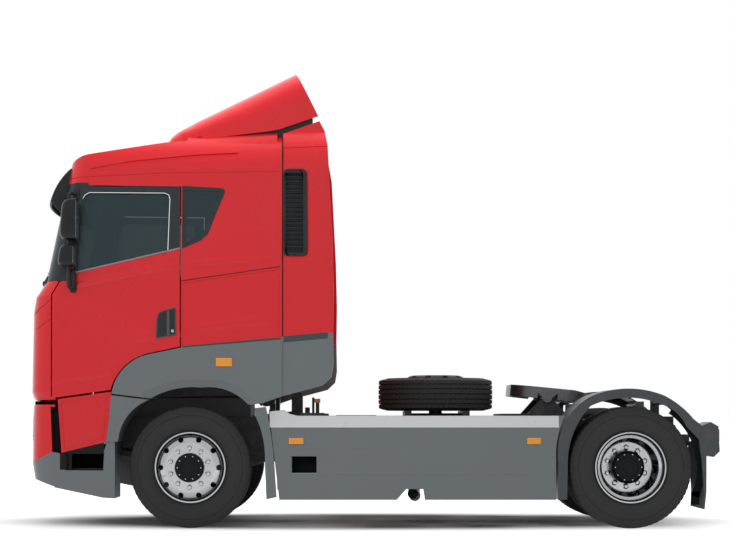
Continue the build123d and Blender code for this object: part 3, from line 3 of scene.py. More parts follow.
import json
import logging
import math
from collections.abc import Callable, Sequence
from dataclasses import dataclass, replace
from enum import Enum

import bmesh
import bpy
import numpy as np
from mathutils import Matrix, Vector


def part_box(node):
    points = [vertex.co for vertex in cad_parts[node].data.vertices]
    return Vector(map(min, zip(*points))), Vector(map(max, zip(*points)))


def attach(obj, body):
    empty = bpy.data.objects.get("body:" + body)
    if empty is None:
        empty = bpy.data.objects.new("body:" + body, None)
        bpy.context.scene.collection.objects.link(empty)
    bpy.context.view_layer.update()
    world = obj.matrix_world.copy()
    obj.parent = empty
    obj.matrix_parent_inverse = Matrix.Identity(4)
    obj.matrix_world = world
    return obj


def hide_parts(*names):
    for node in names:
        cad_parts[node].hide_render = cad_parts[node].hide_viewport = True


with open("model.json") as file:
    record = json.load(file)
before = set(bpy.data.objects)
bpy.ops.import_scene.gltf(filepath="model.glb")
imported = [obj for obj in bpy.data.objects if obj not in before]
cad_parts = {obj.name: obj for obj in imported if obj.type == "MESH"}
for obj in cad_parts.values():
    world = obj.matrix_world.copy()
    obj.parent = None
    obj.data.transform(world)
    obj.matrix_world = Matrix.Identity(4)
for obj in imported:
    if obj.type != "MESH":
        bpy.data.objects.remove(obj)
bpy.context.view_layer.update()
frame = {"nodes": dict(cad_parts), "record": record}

MM = 0.001
LOG = logging.getLogger("tractor_unit")


class Slot(Enum):
    """Material slots of the record."""

    CAB_RED = "cab_red"
    PANEL_GREY = "panel_grey"
    TRIM_BLACK = "trim_black"
    CHASSIS_BLACK = "chassis_black"
    GLASS_TINT = "glass_tint"
    TYRE_RUBBER = "tyre_rubber"
    RIM_ALLOY = "rim_alloy"
    LAMP_CLEAR = "lamp_clear"
    LAMP_AMBER = "lamp_amber"
    BARE_STEEL = "bare_steel"
    TANK_ALLOY = "tank_alloy"
    INTERIOR_GREY = "interior_grey"
    SEAT_FABRIC = "seat_fabric"
    CAST_BLOCK = "cast_block"


class Side(Enum):
    """Side of the truck, as the sign of Y."""

    LEFT = -1
    RIGHT = 1

    @property
    def word(self) -> str:
        """The side as the names of pieces and bodies have it."""
        return self.name.lower()


# --- where things are ---------------------------------------------------------------------------
@dataclass(frozen=True)
class Datum:
    """Origin of every place given in millimetres: the ground under the front axle."""

    front_axle_x: float

    @classmethod
    def from_frame(cls) -> "Datum":
        """Reads the front axle's place from a tyre's box.

        Returns:
            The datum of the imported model.
        """
        low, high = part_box("front_tyre_left")
        return cls(front_axle_x=(low.x + high.x) / 2)

    def at(self, behind: float, across: float, height: float) -> np.ndarray:
        """Point given in millimetres behind the front axle, across and above the ground.

        Args:
            behind: Distance behind the front axle.
            across: Distance across, negative on the driver's side.
            height: Height above the ground.

        Returns:
            The point in metres.
        """
        return self.points([behind, across, height])

    def points(self, rows: "np.ndarray | list") -> np.ndarray:
        """Several points given as at() takes them.

        Args:
            rows: Millimetres; the last axis holds a point.

        Returns:
            Array of the same shape, in metres.
        """
        return np.array(rows, float) * MM + np.array([self.front_axle_x, 0.0, 0.0])


DATUM = Datum.from_frame()


# --- surfaces -----------------------------------------------------------------------------------
@dataclass
class Patch:
    """Part of a mesh: points and four-cornered faces."""

    points: np.ndarray
    quads: np.ndarray

    @classmethod
    def grid(cls, points: np.ndarray, wrap_u: bool = False, wrap_v: bool = False) -> "Patch":
        """Faces over a grid of points, whose first two axes are the surface's parameters.

        Args:
            points: Array of shape (rows, columns, 3).
            wrap_u: Whether the last row joins the first.
            wrap_v: Whether the last column joins the first.

        Returns:
            The surface.
        """
        rows, columns = points.shape[:2]
        index = np.arange(rows * columns).reshape(rows, columns)
        if wrap_u:
            index = np.vstack([index, index[:1]])
        if wrap_v:
            index = np.hstack([index, index[:, :1]])
        corners = (index[:-1, :-1], index[1:, :-1], index[1:, 1:], index[:-1, 1:])
        quads = np.stack([corner.ravel() for corner in corners], axis=1)
        return cls(points.reshape(-1, 3).astype(float), quads)

    @classmethod
    def join(cls, patches: list["Patch"]) -> "Patch":
        """Several patches as one.

        Args:
            patches: Patches to put together.

        Returns:
            One patch with all their faces.
        """
        starts = np.cumsum([0] + [len(patch.points) for patch in patches[:-1]])
        quads = [patch.quads + start for patch, start in zip(patches, starts)]
        return cls(np.vstack([patch.points for patch in patches]), np.vstack(quads))

    def moved(self, offset: np.ndarray) -> "Patch":
        """The patch set off by a vector."""
        return Patch(self.points + np.asarray(offset, float), self.quads)

    def turned(self, matrix: np.ndarray) -> "Patch":
        """The patch turned about the origin by a 3 by 3 matrix."""
        return Patch(self.points @ np.asarray(matrix, float).T, self.quads)

    def facing(self, side: Side) -> "Patch":
        """The patch, made to face the right side, turned upright to face a given side."""
        return self if side is Side.RIGHT else self.turned(rotation("Z", 180.0))

    def mirrored(self) -> "Patch":
        """The patch on the other side of the truck."""
        return Patch(self.points * np.array([1.0, -1.0, 1.0]), self.quads[:, ::-1])

    def copies(self, offsets: np.ndarray) -> "Patch":
        """One copy of the patch at each offset, worked out as whole arrays.

        Args:
            offsets: Array of shape (count, 3).

        Returns:
            All copies as one patch.
        """
        return self.repeated(np.asarray(offsets, float)[:, None, :] + self.points[None, :, :])

    def spun(self, count: int, start: float = 0.0) -> "Patch":
        """Copies turned about the Y axis at equal steps.

        Args:
            count: Number of copies in a full turn.
            start: Angle of the first one, in degrees.

        Returns:
            All copies as one patch.
        """
        angles = np.radians(start) + np.arange(count) * 2 * np.pi / count
        cos, sin = np.cos(angles)[:, None], np.sin(angles)[:, None]
        x, y, z = self.points.T
        return self.repeated(np.stack([cos * x + sin * z, y + 0 * cos, cos * z - sin * x], axis=-1))

    def repeated(self, places: np.ndarray) -> "Patch":
        """The patch's faces over several sets of its points.

        Args:
            places: Array of shape (copies, points, 3).

        Returns:
            All copies as one patch.
        """
        steps = np.arange(len(places))[:, None, None] * len(self.points)
        return Patch(places.reshape(-1, 3), (self.quads[None, :, :] + steps).reshape(-1, 4))


def rotation(axis: str, degrees: float) -> np.ndarray:
    """Matrix that turns points about a row axis.

    Args:
        axis: One of X, Y and Z.
        degrees: Angle by the right-hand rule.

    Returns:
        A 3 by 3 matrix.
    """
    cos, sin = math.cos(math.radians(degrees)), math.sin(math.radians(degrees))
    first, second = {"X": (1, 2), "Y": (2, 0), "Z": (0, 1)}[axis]
    matrix = np.eye(3)
    matrix[[first, second], [first, second]] = cos
    matrix[first, second] = -sin
    matrix[second, first] = sin
    return matrix


def revolved(profile: np.ndarray, sections: int) -> Patch:
    """Closed profile carried round the Y axis: x = r cos u, z = r sin u, y as in the profile.

    Args:
        profile: Rows of radius and Y, in metres.
        sections: Number of steps in a full turn.

    Returns:
        The surface.
    """
    angles = np.arange(sections) * 2 * np.pi / sections
    radius, across = np.asarray(profile, float).T
    x = np.cos(angles)[:, None] * radius
    z = np.sin(angles)[:, None] * radius
    y = np.broadcast_to(across, x.shape)
    return Patch.grid(np.stack([x, y, z], axis=-1), wrap_u=True, wrap_v=True)


def tube(path: np.ndarray, radius: float | np.ndarray, sides: int = 12) -> Patch:
    """Circle carried along a path, its frame turned from point to point, with closed ends.

    Args:
        path: Rows of points in metres.
        radius: One radius, or one for each point.
        sides: Number of steps round the circle.

    Returns:
        The closed tube.
    """
    path = np.asarray(path, float)
    tangents = np.gradient(path, axis=0)
    tangents /= np.linalg.norm(tangents, axis=1)[:, None]
    reference = np.eye(3)[np.argmin(np.abs(tangents).max(axis=0))]
    across = np.cross(tangents, reference)
    across /= np.linalg.norm(across, axis=1)[:, None]
    upright = np.cross(tangents, across)
    angles = np.arange(sides) * 2 * np.pi / sides
    reach = np.broadcast_to(np.asarray(radius, float), (len(path),))[:, None, None]
    circle = np.cos(angles)[:, None] * across[:, None] + np.sin(angles)[:, None] * upright[:, None]
    rings = path[:, None] + reach * circle
    ends = [np.repeat(path[[k]], sides, axis=0)[None] for k in (0, -1)]
    return Patch.grid(np.concatenate([ends[0], rings, ends[1]]), wrap_v=True)


def curve_through(points: np.ndarray, samples: int) -> np.ndarray:
    """Points along a smooth curve through a few given ones, by Catmull-Rom weights.

    Args:
        points: Rows of points.
        samples: Number of points on each span.

    Returns:
        Points along the curve.
    """
    points = np.asarray(points, float)
    ends = (2 * points[:1] - points[1:2], points, 2 * points[-1:] - points[-2:-1])
    padded = np.vstack(ends)
    t = np.linspace(0, 1, samples, endpoint=False)[None, :, None]
    p0, p1, p2, p3 = (padded[k : len(padded) - 3 + k][:, None] for k in range(4))
    blend = 2 * p1 + (p2 - p0) * t + (2 * p0 - 5 * p1 + 4 * p2 - p3) * t**2
    curve = (blend + (3 * p1 - p0 - 3 * p2 + p3) * t**3) / 2
    return np.vstack([curve.reshape(-1, points.shape[1]), points[-1:]])


def cushioned(centre: np.ndarray, half: tuple[float, float, float], power: float = 5.0) -> Patch:
    """Closed rounded block: each axis is half its size times a power of a sine or cosine.

    Args:
        centre: Middle of the block, in metres.
        half: Half its size along X, Y and Z, in metres.
        power: How square it is, from 2 for an ellipsoid upwards.

    Returns:
        The closed surface.
    """
    u = np.linspace(-np.pi / 2, np.pi / 2, 17)[:, None]
    v = np.linspace(-np.pi, np.pi, 32, endpoint=False)[None, :]

    def squared(value: np.ndarray) -> np.ndarray:
        """A sine or cosine drawn out towards a square wave."""
        return np.sign(value) * np.abs(value) ** (2 / power)

    x = squared(np.cos(u)) * squared(np.cos(v))
    y = squared(np.cos(u)) * squared(np.sin(v))
    z = squared(np.sin(u)) * np.ones_like(v)
    return Patch.grid(np.stack([x, y, z], axis=-1) * half + centre, wrap_v=True)


def slab(outline: np.ndarray, thickness: np.ndarray) -> Patch:
    """Outline carried along a vector and closed by a fan at each end.

    Args:
        outline: Rows of points round a flat, star-shaped outline.
        thickness: Vector from the first face to the second.

    Returns:
        The closed plate.
    """
    outline = np.asarray(outline, float)
    centre = np.repeat(outline.mean(axis=0)[None], len(outline), axis=0)
    step = np.asarray(thickness, float)
    rings = np.stack([centre, outline, outline + step, centre + step])
    return Patch.grid(rings, wrap_v=True)


def capped(rings: np.ndarray) -> Patch:
    """Tube through closed rings, with a fan over each end.

    Args:
        rings: Array of rings, points and coordinates, in metres.

    Returns:
        The closed tube.
    """
    ends = []
    for k in (0, -1):
        middle = rings[[k]].mean(axis=1, keepdims=True)
        ends.append(np.repeat(middle, rings.shape[1], axis=1))
    return Patch.grid(np.concatenate([ends[0], rings, ends[1]]), wrap_v=True)


def prism(span_x: tuple, span_y: tuple, span_z: tuple, chamfer: float = 0.003) -> Patch:
    """Block between two values on each axis, in millimetres, its long edges chamfered.

    Args:
        span_x: Low and high distance behind the front axle.
        span_y: Low and high distance across.
        span_z: Low and high height.
        chamfer: Width of the chamfers, in metres.

    Returns:
        The closed block.
    """
    low = DATUM.at(span_x[0], span_y[0], span_z[0])
    high = DATUM.at(span_x[1], span_y[1], span_z[1])
    c = chamfer
    corners = [(0, c), (c, 0), (-c, 0), (0, c), (0, -c), (-c, 0), (c, 0), (0, -c)]
    sides = [(0, 0), (0, 0), (1, 0), (1, 0), (1, 1), (1, 1), (0, 1), (0, 1)]
    spread = np.array(corners) + np.array(sides) * (high - low)[[0, 2]]
    outline = np.zeros((len(corners), 3))
    outline[:, [0, 2]] = spread + low[[0, 2]]
    outline[:, 1] = low[1]
    return slab(outline, np.array([0.0, high[1] - low[1], 0.0]))


def build(
    name: str,
    patches: list[Patch],
    finish: "Finish",
    body: str,
    replaces: tuple[str, ...] = (),
    sharp: float = 38.0,
) -> bpy.types.Object:
    """Puts patches into one mesh and dresses it.

    Args:
        name: Name of the piece.
        patches: Its surfaces.
        finish: What it is finished in.
        body: Body that it rides on.
        replaces: Nodes that it stands for.
        sharp: Edges that turn by more than this many degrees stay sharp.

    Returns:
        The finished object.
    """
    patch = Patch.join(patches)
    mesh = bpy.data.meshes.new(name)
    mesh.from_pydata(patch.points.tolist(), [], patch.quads.tolist())
    form = bmesh.new()
    form.from_mesh(mesh)
    bmesh.ops.remove_doubles(form, verts=form.verts, dist=1e-6)
    bmesh.ops.dissolve_degenerate(form, edges=form.edges, dist=1e-7)
    bmesh.ops.recalc_face_normals(form, faces=form.faces)
    form.to_mesh(mesh)
    form.free()
    mesh.shade_smooth()
    mesh.set_sharp_from_angle(angle=math.radians(sharp))
    obj = bpy.data.objects.new(name, mesh)
    bpy.context.scene.collection.objects.link(obj)
    mesh.materials.append(finish.material())
    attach(obj, body)
    if replaces:
        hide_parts(*replaces)
    LOG.info("%s: %d faces on %s", name, len(mesh.polygons), body)
    return obj


# --- finishes -----------------------------------------------------------------------------------
class Graph:
    """Node tree of one material, read from Object coordinates."""

    def __init__(self, name: str) -> None:
        """Starts an empty tree with a Principled shader.

        Args:
            name: Name of the material.
        """
        self.material = bpy.data.materials.new(name)
        self.material.use_nodes = True
        self.tree = self.material.node_tree
        self.tree.nodes.clear()
        self.shader = self.add("ShaderNodeBsdfPrincipled")
        self.output = self.add("ShaderNodeOutputMaterial")
        self.tree.links.new(self.shader.outputs[0], self.output.inputs["Surface"])
        self.place = self.add("ShaderNodeTexCoord").outputs["Object"]

    def add(self, kind: str, **settings: object) -> bpy.types.Node:
        """Adds a node and sets its properties.

        Args:
            kind: Type of node.
            settings: Property names and values.

        Returns:
            The node.
        """
        node = self.tree.nodes.new(kind)
        for key, value in settings.items():
            setattr(node, key, value)
        return node

    def feed(self, node: bpy.types.Node, **inputs: object) -> bpy.types.Node:
        """Sets or links a node's inputs, an underscore standing for a space.

        Args:
            node: Node to feed.
            inputs: Values, or output sockets to link.

        Returns:
            The same node.
        """
        for key, value in inputs.items():
            socket = node.inputs[key.replace("_", " ")]
            if isinstance(value, bpy.types.NodeSocket):
                self.tree.links.new(value, socket)
            else:
                socket.default_value = value
        return node

    def scaled(
        self, scale: tuple[float, float, float], offset: np.ndarray | None = None
    ) -> object:
        """Object coordinates about a centre, drawn out along the axes.

        Args:
            scale: Factor on each axis.
            offset: Centre of the pattern, in metres.

        Returns:
            A vector socket.
        """
        start = (0.0, 0.0, 0.0) if offset is None else tuple(-np.asarray(offset) * scale)
        node = self.add("ShaderNodeMapping")
        return self.feed(node, Vector=self.place, Scale=scale, Location=start).outputs[0]

    def noise(self, scale: float, detail: float = 2.0, vector: object = None) -> object:
        """Noise between 0 and 1.

        Args:
            scale: Waves to a metre.
            detail: Number of finer layers.
            vector: Coordinates to read, or None for the object's own.

        Returns:
            A value socket.
        """
        node = self.add("ShaderNodeTexNoise")
        self.feed(node, Vector=vector or self.place, Scale=scale, Detail=detail)
        return node.outputs[0]

    def span(
        self, value: object, low: float, high: float, start: float = 0.3, end: float = 0.7
    ) -> object:
        """Value carried from one range to another, and held at its ends.

        Args:
            value: Socket to read.
            low: Result at the start.
            high: Result at the end.
            start: Value that gives low.
            end: Value that gives high.

        Returns:
            A value socket.
        """
        node = self.add("ShaderNodeMapRange", interpolation_type="SMOOTHSTEP")
        names = {"From_Min": start, "From_Max": end, "To_Min": low, "To_Max": high}
        return self.feed(node, Value=value, **names).outputs[0]

    def math(self, operation: str, first: object, second: object = 0.0) -> object:
        """One step of arithmetic.

        Args:
            operation: Name of the operation.
            first: First value or socket.
            second: Second value or socket.

        Returns:
            A value socket.
        """
        node = self.add("ShaderNodeMath", operation=operation)
        for socket, value in zip(node.inputs, (first, second)):
            if isinstance(value, bpy.types.NodeSocket):
                self.tree.links.new(value, socket)
            else:
                socket.default_value = value
        return node.outputs[0]

    def blend(self, factor: object, first: tuple, second: tuple) -> object:
        """Colour between two others.

        Args:
            factor: Socket from 0 to 1.
            first: Colour at 0.
            second: Colour at 1.

        Returns:
            A colour socket.
        """
        node = self.add("ShaderNodeMix", data_type="RGBA")
        self.tree.links.new(factor, node.inputs[0])
        for index, colour in ((6, first), (7, second)):
            if isinstance(colour, bpy.types.NodeSocket):
                self.tree.links.new(colour, node.inputs[index])
            else:
                node.inputs[index].default_value = (*colour, 1.0)
        return node.outputs[2]

    def bump(self, height: object, strength: float, distance: float) -> object:
        """Fine relief.

        Args:
            height: Socket of the height.
            strength: Share of the relief that is shown.
            distance: Height of the relief, in metres.

        Returns:
            A normal socket.
        """
        node = self.add("ShaderNodeBump")
        self.feed(node, Height=height, Strength=strength, Distance=distance)
        return node.outputs[0]


def shade(colour: tuple, factor: float) -> tuple:
    """A colour made darker or lighter by a factor."""
    return tuple(min(1.0, channel * factor) for channel in colour)


@dataclass(frozen=True)
class Finish:
    """Finish of a surface: a colour that varies a little, gloss, and fine relief.

    Attributes:
        name: Name of the material.
        slot: Slot of the record that it belongs to.
        colour: Base colour.
        roughness: Middle value of the roughness.
        metallic: Metal share.
        coat: Clear coat over it.
        mottle: How far the colour varies.
        mottle_scale: Patches of colour to a metre.
        grain: Height of the fine relief, in metres.
        grain_scale: Waves of the fine relief to a metre.
        dust: Share of pale dust in the patches.
        specular: Strength of the reflection under the coat.
        dust_colour: Colour of the dust.
    """

    name: str
    slot: Slot
    colour: tuple[float, float, float]
    roughness: float = 0.5
    metallic: float = 0.0
    coat: float = 0.0
    mottle: float = 0.1
    mottle_scale: float = 3.0
    grain: float = 0.0
    grain_scale: float = 400.0
    dust: float = 0.0
    specular: float = 0.5
    dust_colour: tuple[float, float, float] = (0.30, 0.28, 0.25)

    def material(self) -> bpy.types.Material:
        """The finish's material, made once."""
        found = bpy.data.materials.get(self.name)
        if found:
            return found
        graph = Graph(self.name)
        self.dress(graph)
        return graph.material

    def dress(self, graph: Graph) -> None:
        """Sets the shader's colour, gloss and relief.

        Args:
            graph: Tree of the material.
        """
        patches = graph.noise(self.mottle_scale, 4.0)
        dark, pale = (shade(self.colour, 1 + part) for part in (-self.mottle, self.mottle))
        colour = graph.blend(patches, dark, pale)
        if self.dust:
            grime = graph.noise(self.mottle_scale * 4, 6.0)
            settled = graph.span(grime, 0.0, self.dust, start=0.45, end=0.75)
            colour = graph.blend(settled, colour, self.dust_colour)
        rough = graph.span(patches, self.roughness * 0.85, min(1.0, self.roughness * 1.15))
        graph.feed(graph.shader, Base_Color=colour, Roughness=rough, Metallic=self.metallic)
        graph.feed(graph.shader, Specular_IOR_Level=self.specular)
        if self.coat:
            graph.feed(graph.shader, Coat_Weight=self.coat, Coat_Roughness=0.04)
        if self.grain:
            relief = graph.bump(graph.noise(self.grain_scale, 3.0), 0.6, self.grain)
            graph.feed(graph.shader, Normal=relief)
        self.refine(graph)

    def refine(self, graph: Graph) -> None:
        """Hook for what a kind of finish adds.

        Args:
            graph: Tree of the material.
        """


@dataclass(frozen=True)
class Machined(Finish):
    """Metal turned about a wheel's axle: rings of fine relief and changing gloss."""

    centre: tuple[float, float] = (0.0, 0.0)
    rings: float = 900.0

    def refine(self, graph: Graph) -> None:
        """Adds the turning marks, which follow the distance from the axle."""
        middle = np.array([self.centre[0], 0.0, self.centre[1]])
        length = graph.add("ShaderNodeVectorMath", operation="LENGTH")
        graph.feed(length, Vector=graph.scaled((1.0, 0.0, 1.0), middle))
        turns = graph.math("MULTIPLY", length.outputs["Value"], self.rings * 2 * math.pi)
        wave = graph.math("SINE", turns)
        broad = graph.span(graph.noise(60.0, 3.0), 0.12, 0.24)
        rough = graph.math("ADD", graph.math("MULTIPLY", wave, 0.03), broad)
        graph.feed(graph.shader, Roughness=rough, Normal=graph.bump(wave, 0.12, 0.00012))


@dataclass(frozen=True)
class Brushed(Finish):
    """Metal brushed along one axis."""

    stretch: tuple[float, float, float] = (4.0, 300.0, 300.0)

    def refine(self, graph: Graph) -> None:
        """Adds streaks drawn out along the brushing."""
        streaks = graph.noise(1.0, 4.0, graph.scaled(self.stretch))
        rough = graph.span(streaks, self.roughness * 0.7, min(1.0, self.roughness * 1.3))
        graph.feed(graph.shader, Roughness=rough, Normal=graph.bump(streaks, 0.25, 0.0003))


@dataclass(frozen=True)
class Glazing(Finish):
    """Tinted glass: a dark surface that lets some light through."""

    alpha: float = 0.7

    def refine(self, graph: Graph) -> None:
        """Makes the pane partly clear, with a hard gloss."""
        graph.feed(graph.shader, Roughness=0.02, Alpha=self.alpha)


@dataclass(frozen=True)
class Lens(Finish):
    """Moulded lamp lens with fine upright flutes."""

    flutes: float = 160.0

    def refine(self, graph: Graph) -> None:
        """Adds the flutes as relief under a hard coat."""
        wave = graph.add("ShaderNodeTexWave", bands_direction="X")
        graph.feed(wave, Vector=graph.place, Scale=self.flutes)
        relief = graph.bump(wave.outputs[1], 0.5, 0.0008)
        graph.feed(graph.shader, Normal=relief, Coat_Weight=1.0, Coat_Roughness=0.05)


@dataclass(frozen=True)
class Woven(Finish):
    """Cloth: two crossing sets of threads, a soft sheen."""

    threads: float = 520.0

    def refine(self, graph: Graph) -> None:
        """Adds the weave as relief and as darker crossings."""
        sets = []
        for direction in ("X", "Z"):
            wave = graph.add("ShaderNodeTexWave", bands_direction=direction)
            graph.feed(wave, Vector=graph.place, Scale=self.threads / 6.0, Distortion=0.6)
            sets.append(wave.outputs[1])
        weave = graph.math("MULTIPLY", sets[0], sets[1])
        tinted = graph.blend(weave, shade(self.colour, 0.6), shade(self.colour, 1.25))
        graph.feed(graph.shader, Base_Color=tinted, Sheen_Weight=0.4, Sheen_Roughness=0.5)
        graph.feed(graph.shader, Normal=graph.bump(weave, 0.5, 0.0006))


CAB_PAINT = Finish(
    "cab_paint", Slot.CAB_RED, (0.74, 0.014, 0.022), 0.3,
    coat=0.35, mottle=0.03, mottle_scale=1.2, specular=0.2,
)
GREY_PAINT = Finish(
    "grey_paint", Slot.PANEL_GREY, (0.15, 0.168, 0.176), 0.4, 0.2,
    coat=0.1, mottle=0.04, mottle_scale=1.5, grain=3e-5, grain_scale=700.0, specular=0.3,
)
TRIM = Finish(
    "moulded_black", Slot.TRIM_BLACK, (0.014, 0.016, 0.018), 0.5,
    grain=1.2e-4, grain_scale=900.0, dust=0.04, specular=0.3,
)
GLOSS_TRIM = Finish(
    "gloss_black", Slot.TRIM_BLACK, (0.008, 0.009, 0.01), 0.12, coat=1.0, mottle=0.02
)
RUBBER_SEAL = Finish(
    "rubber_seal", Slot.TRIM_BLACK, (0.012, 0.012, 0.013), 0.7, grain=8e-5, grain_scale=600.0
)
CHASSIS = Finish(
    "chassis_paint", Slot.CHASSIS_BLACK, (0.02, 0.021, 0.023), 0.45,
    grain=8e-5, dust=0.1, specular=0.35,
)
TYRE = Finish(
    "tyre_rubber", Slot.TYRE_RUBBER, (0.044, 0.046, 0.046), 0.62,
    grain=1.5e-4, grain_scale=500.0, dust=0.1, specular=0.3,
)
STEEL = Finish(
    "bare_steel", Slot.BARE_STEEL, (0.33, 0.33, 0.34), 0.38, 1.0,
    mottle=0.15, mottle_scale=8.0, dust=0.1,
)
GREASED = Finish(
    "greased_plate", Slot.BARE_STEEL, (0.10, 0.10, 0.105), 0.33, 0.85,
    mottle=0.35, mottle_scale=9.0,
)
TANK = Brushed("tank_alloy", Slot.TANK_ALLOY, (0.62, 0.63, 0.65), 0.35, 1.0, mottle=0.04)
CHROME_NUT = Finish(
    "nut_plating", Slot.RIM_ALLOY, (0.42, 0.43, 0.44), 0.2, 1.0, mottle=0.05, mottle_scale=30.0
)
CAST = Finish(
    "cast_block", Slot.CAST_BLOCK, (0.1, 0.1, 0.105), 0.7, 0.3,
    grain=4e-4, grain_scale=160.0, dust=0.15,
)
GLASS = Glazing(
    "tinted_glass", Slot.GLASS_TINT, (0.03, 0.058, 0.068), 0.03, mottle=0.02, specular=0.25
)
MIRROR = Finish("mirror_glass", Slot.GLASS_TINT, (0.75, 0.78, 0.8), 0.02, 1.0, mottle=0.01)
AMBER = Lens(
    "amber_lens", Slot.LAMP_AMBER, (0.98, 0.36, 0.01), 0.3,
    mottle=0.06, mottle_scale=12.0, specular=0.15,
)
RED_LENS = Lens(
    "red_lens", Slot.LAMP_AMBER, (0.5, 0.01, 0.012), 0.2, mottle=0.06, mottle_scale=12.0
)
CLEAR = Lens("clear_lens", Slot.LAMP_CLEAR, (0.72, 0.76, 0.8), 0.15, mottle=0.05, flutes=90.0)
BAND = Finish(
    "glazing_band", Slot.TRIM_BLACK, (0.018, 0.026, 0.03), 0.3,
    coat=0.1, mottle=0.02, specular=0.25,
)
MOULDED = Finish(
    "mirror_housing", Slot.TRIM_BLACK, (0.008, 0.01, 0.011), 0.25,
    coat=0.1, mottle=0.03, specular=0.2,
)
BRIGHT = Finish("bright_line", Slot.RIM_ALLOY, (0.8, 0.82, 0.84), 0.16, 1.0, mottle=0.02)
# Grey of the waist strip; the same grey is a painted highlight on the lip of the fairing's step
# hole.
WAIST_AND_HIGHLIGHT = Finish("waist_grey", Slot.PANEL_GREY, (0.24, 0.26, 0.27), 0.35, coat=0.2, mottle=0.03)
HUB = Finish(
    "hub_cap_black", Slot.TRIM_BLACK, (0.008, 0.009, 0.01), 0.4, mottle=0.03, specular=0.12
)
SHADE = Finish(
    "shade_grey", Slot.PANEL_GREY, (0.045, 0.06, 0.068), 0.4, 0.1,
    coat=0.1, mottle=0.03, specular=0.3,
)
# Dark rubber of the locker seam; the same black is painted shade in the gap behind the cab and
# round the bumper's step hole.
SEAL_AND_PAINTED_SHADE = Finish(
    "seal_rubber_and_painted_shade", Slot.TRIM_BLACK, (0.012, 0.013, 0.014), 0.7, mottle=0.03, specular=0.15
)
GUARD = Finish(
    "mudguard_plastic", Slot.CHASSIS_BLACK, (0.05, 0.056, 0.06), 0.42,
    grain=1e-4, dust=0.05, specular=0.4,
)
# Near black for painted shade: laid in the gaps under the nose, inside the step holes, behind the
# rear wheels and in the exhaust's mouth.
PAINTED_SHADE = Finish(
    "painted_shade", Slot.TRIM_BLACK, (0.006, 0.007, 0.008), 0.8, mottle=0.02, specular=0.1
)
# Pale grey over the fairing's top bevel: a painted highlight that stands in for the sky's
# reflection.
BEVEL_HIGHLIGHT = Finish(
    "bevel_grey", Slot.PANEL_GREY, (0.62, 0.64, 0.65), 0.32, 0.1, coat=0.3, mottle=0.03
)
INTERIOR = Finish(
    "interior_plastic", Slot.INTERIOR_GREY, (0.07, 0.074, 0.08), 0.65, grain=1.2e-4
)
SEAT_CLOTH = Woven("seat_cloth", Slot.SEAT_FABRIC, (0.06, 0.062, 0.068), 0.85)
ALLOY = Machined("rim_alloy", Slot.RIM_ALLOY, (0.4, 0.41, 0.42), 0.22, 1.0, mottle=0.1)

NODE_FINISHES: dict[str, Finish] = {
    "bumper": CAB_PAINT,
    "headlamps": CLEAR,
    "fifth_wheel_plate": GREASED,
    "silencer": STEEL,
    "deck_plate": STEEL,
    "rear_mudguards": GUARD,
    "tail_lamp_carriers": GUARD,
}
SLOT_FINISHES: dict[str, Finish] = {
    Slot.CAB_RED.value: CAB_PAINT,
    Slot.PANEL_GREY.value: GREY_PAINT,
    Slot.TRIM_BLACK.value: TRIM,
    Slot.CHASSIS_BLACK.value: CHASSIS,
    Slot.GLASS_TINT.value: GLASS,
    Slot.TYRE_RUBBER.value: TYRE,
    Slot.RIM_ALLOY.value: ALLOY,
    Slot.LAMP_CLEAR.value: CLEAR,
    Slot.LAMP_AMBER.value: AMBER,
    Slot.BARE_STEEL.value: STEEL,
    Slot.TANK_ALLOY.value: TANK,
    Slot.INTERIOR_GREY.value: INTERIOR,
    Slot.SEAT_FABRIC.value: SEAT_CLOTH,
    Slot.CAST_BLOCK.value: CAST,
}


def dress_nodes() -> None:
    """Gives every carried-over node the finish of its slot, or its own."""
    slots = {part["node"]: part["material_slot"] for part in frame["record"]["subparts"]}
    for name, node in frame["nodes"].items():
        finish = NODE_FINISHES.get(name, SLOT_FINISHES[slots[name]])
        node.data.materials.clear()
        node.data.materials.append(finish.material())
    LOG.info("dressed %d nodes", len(frame["nodes"]))


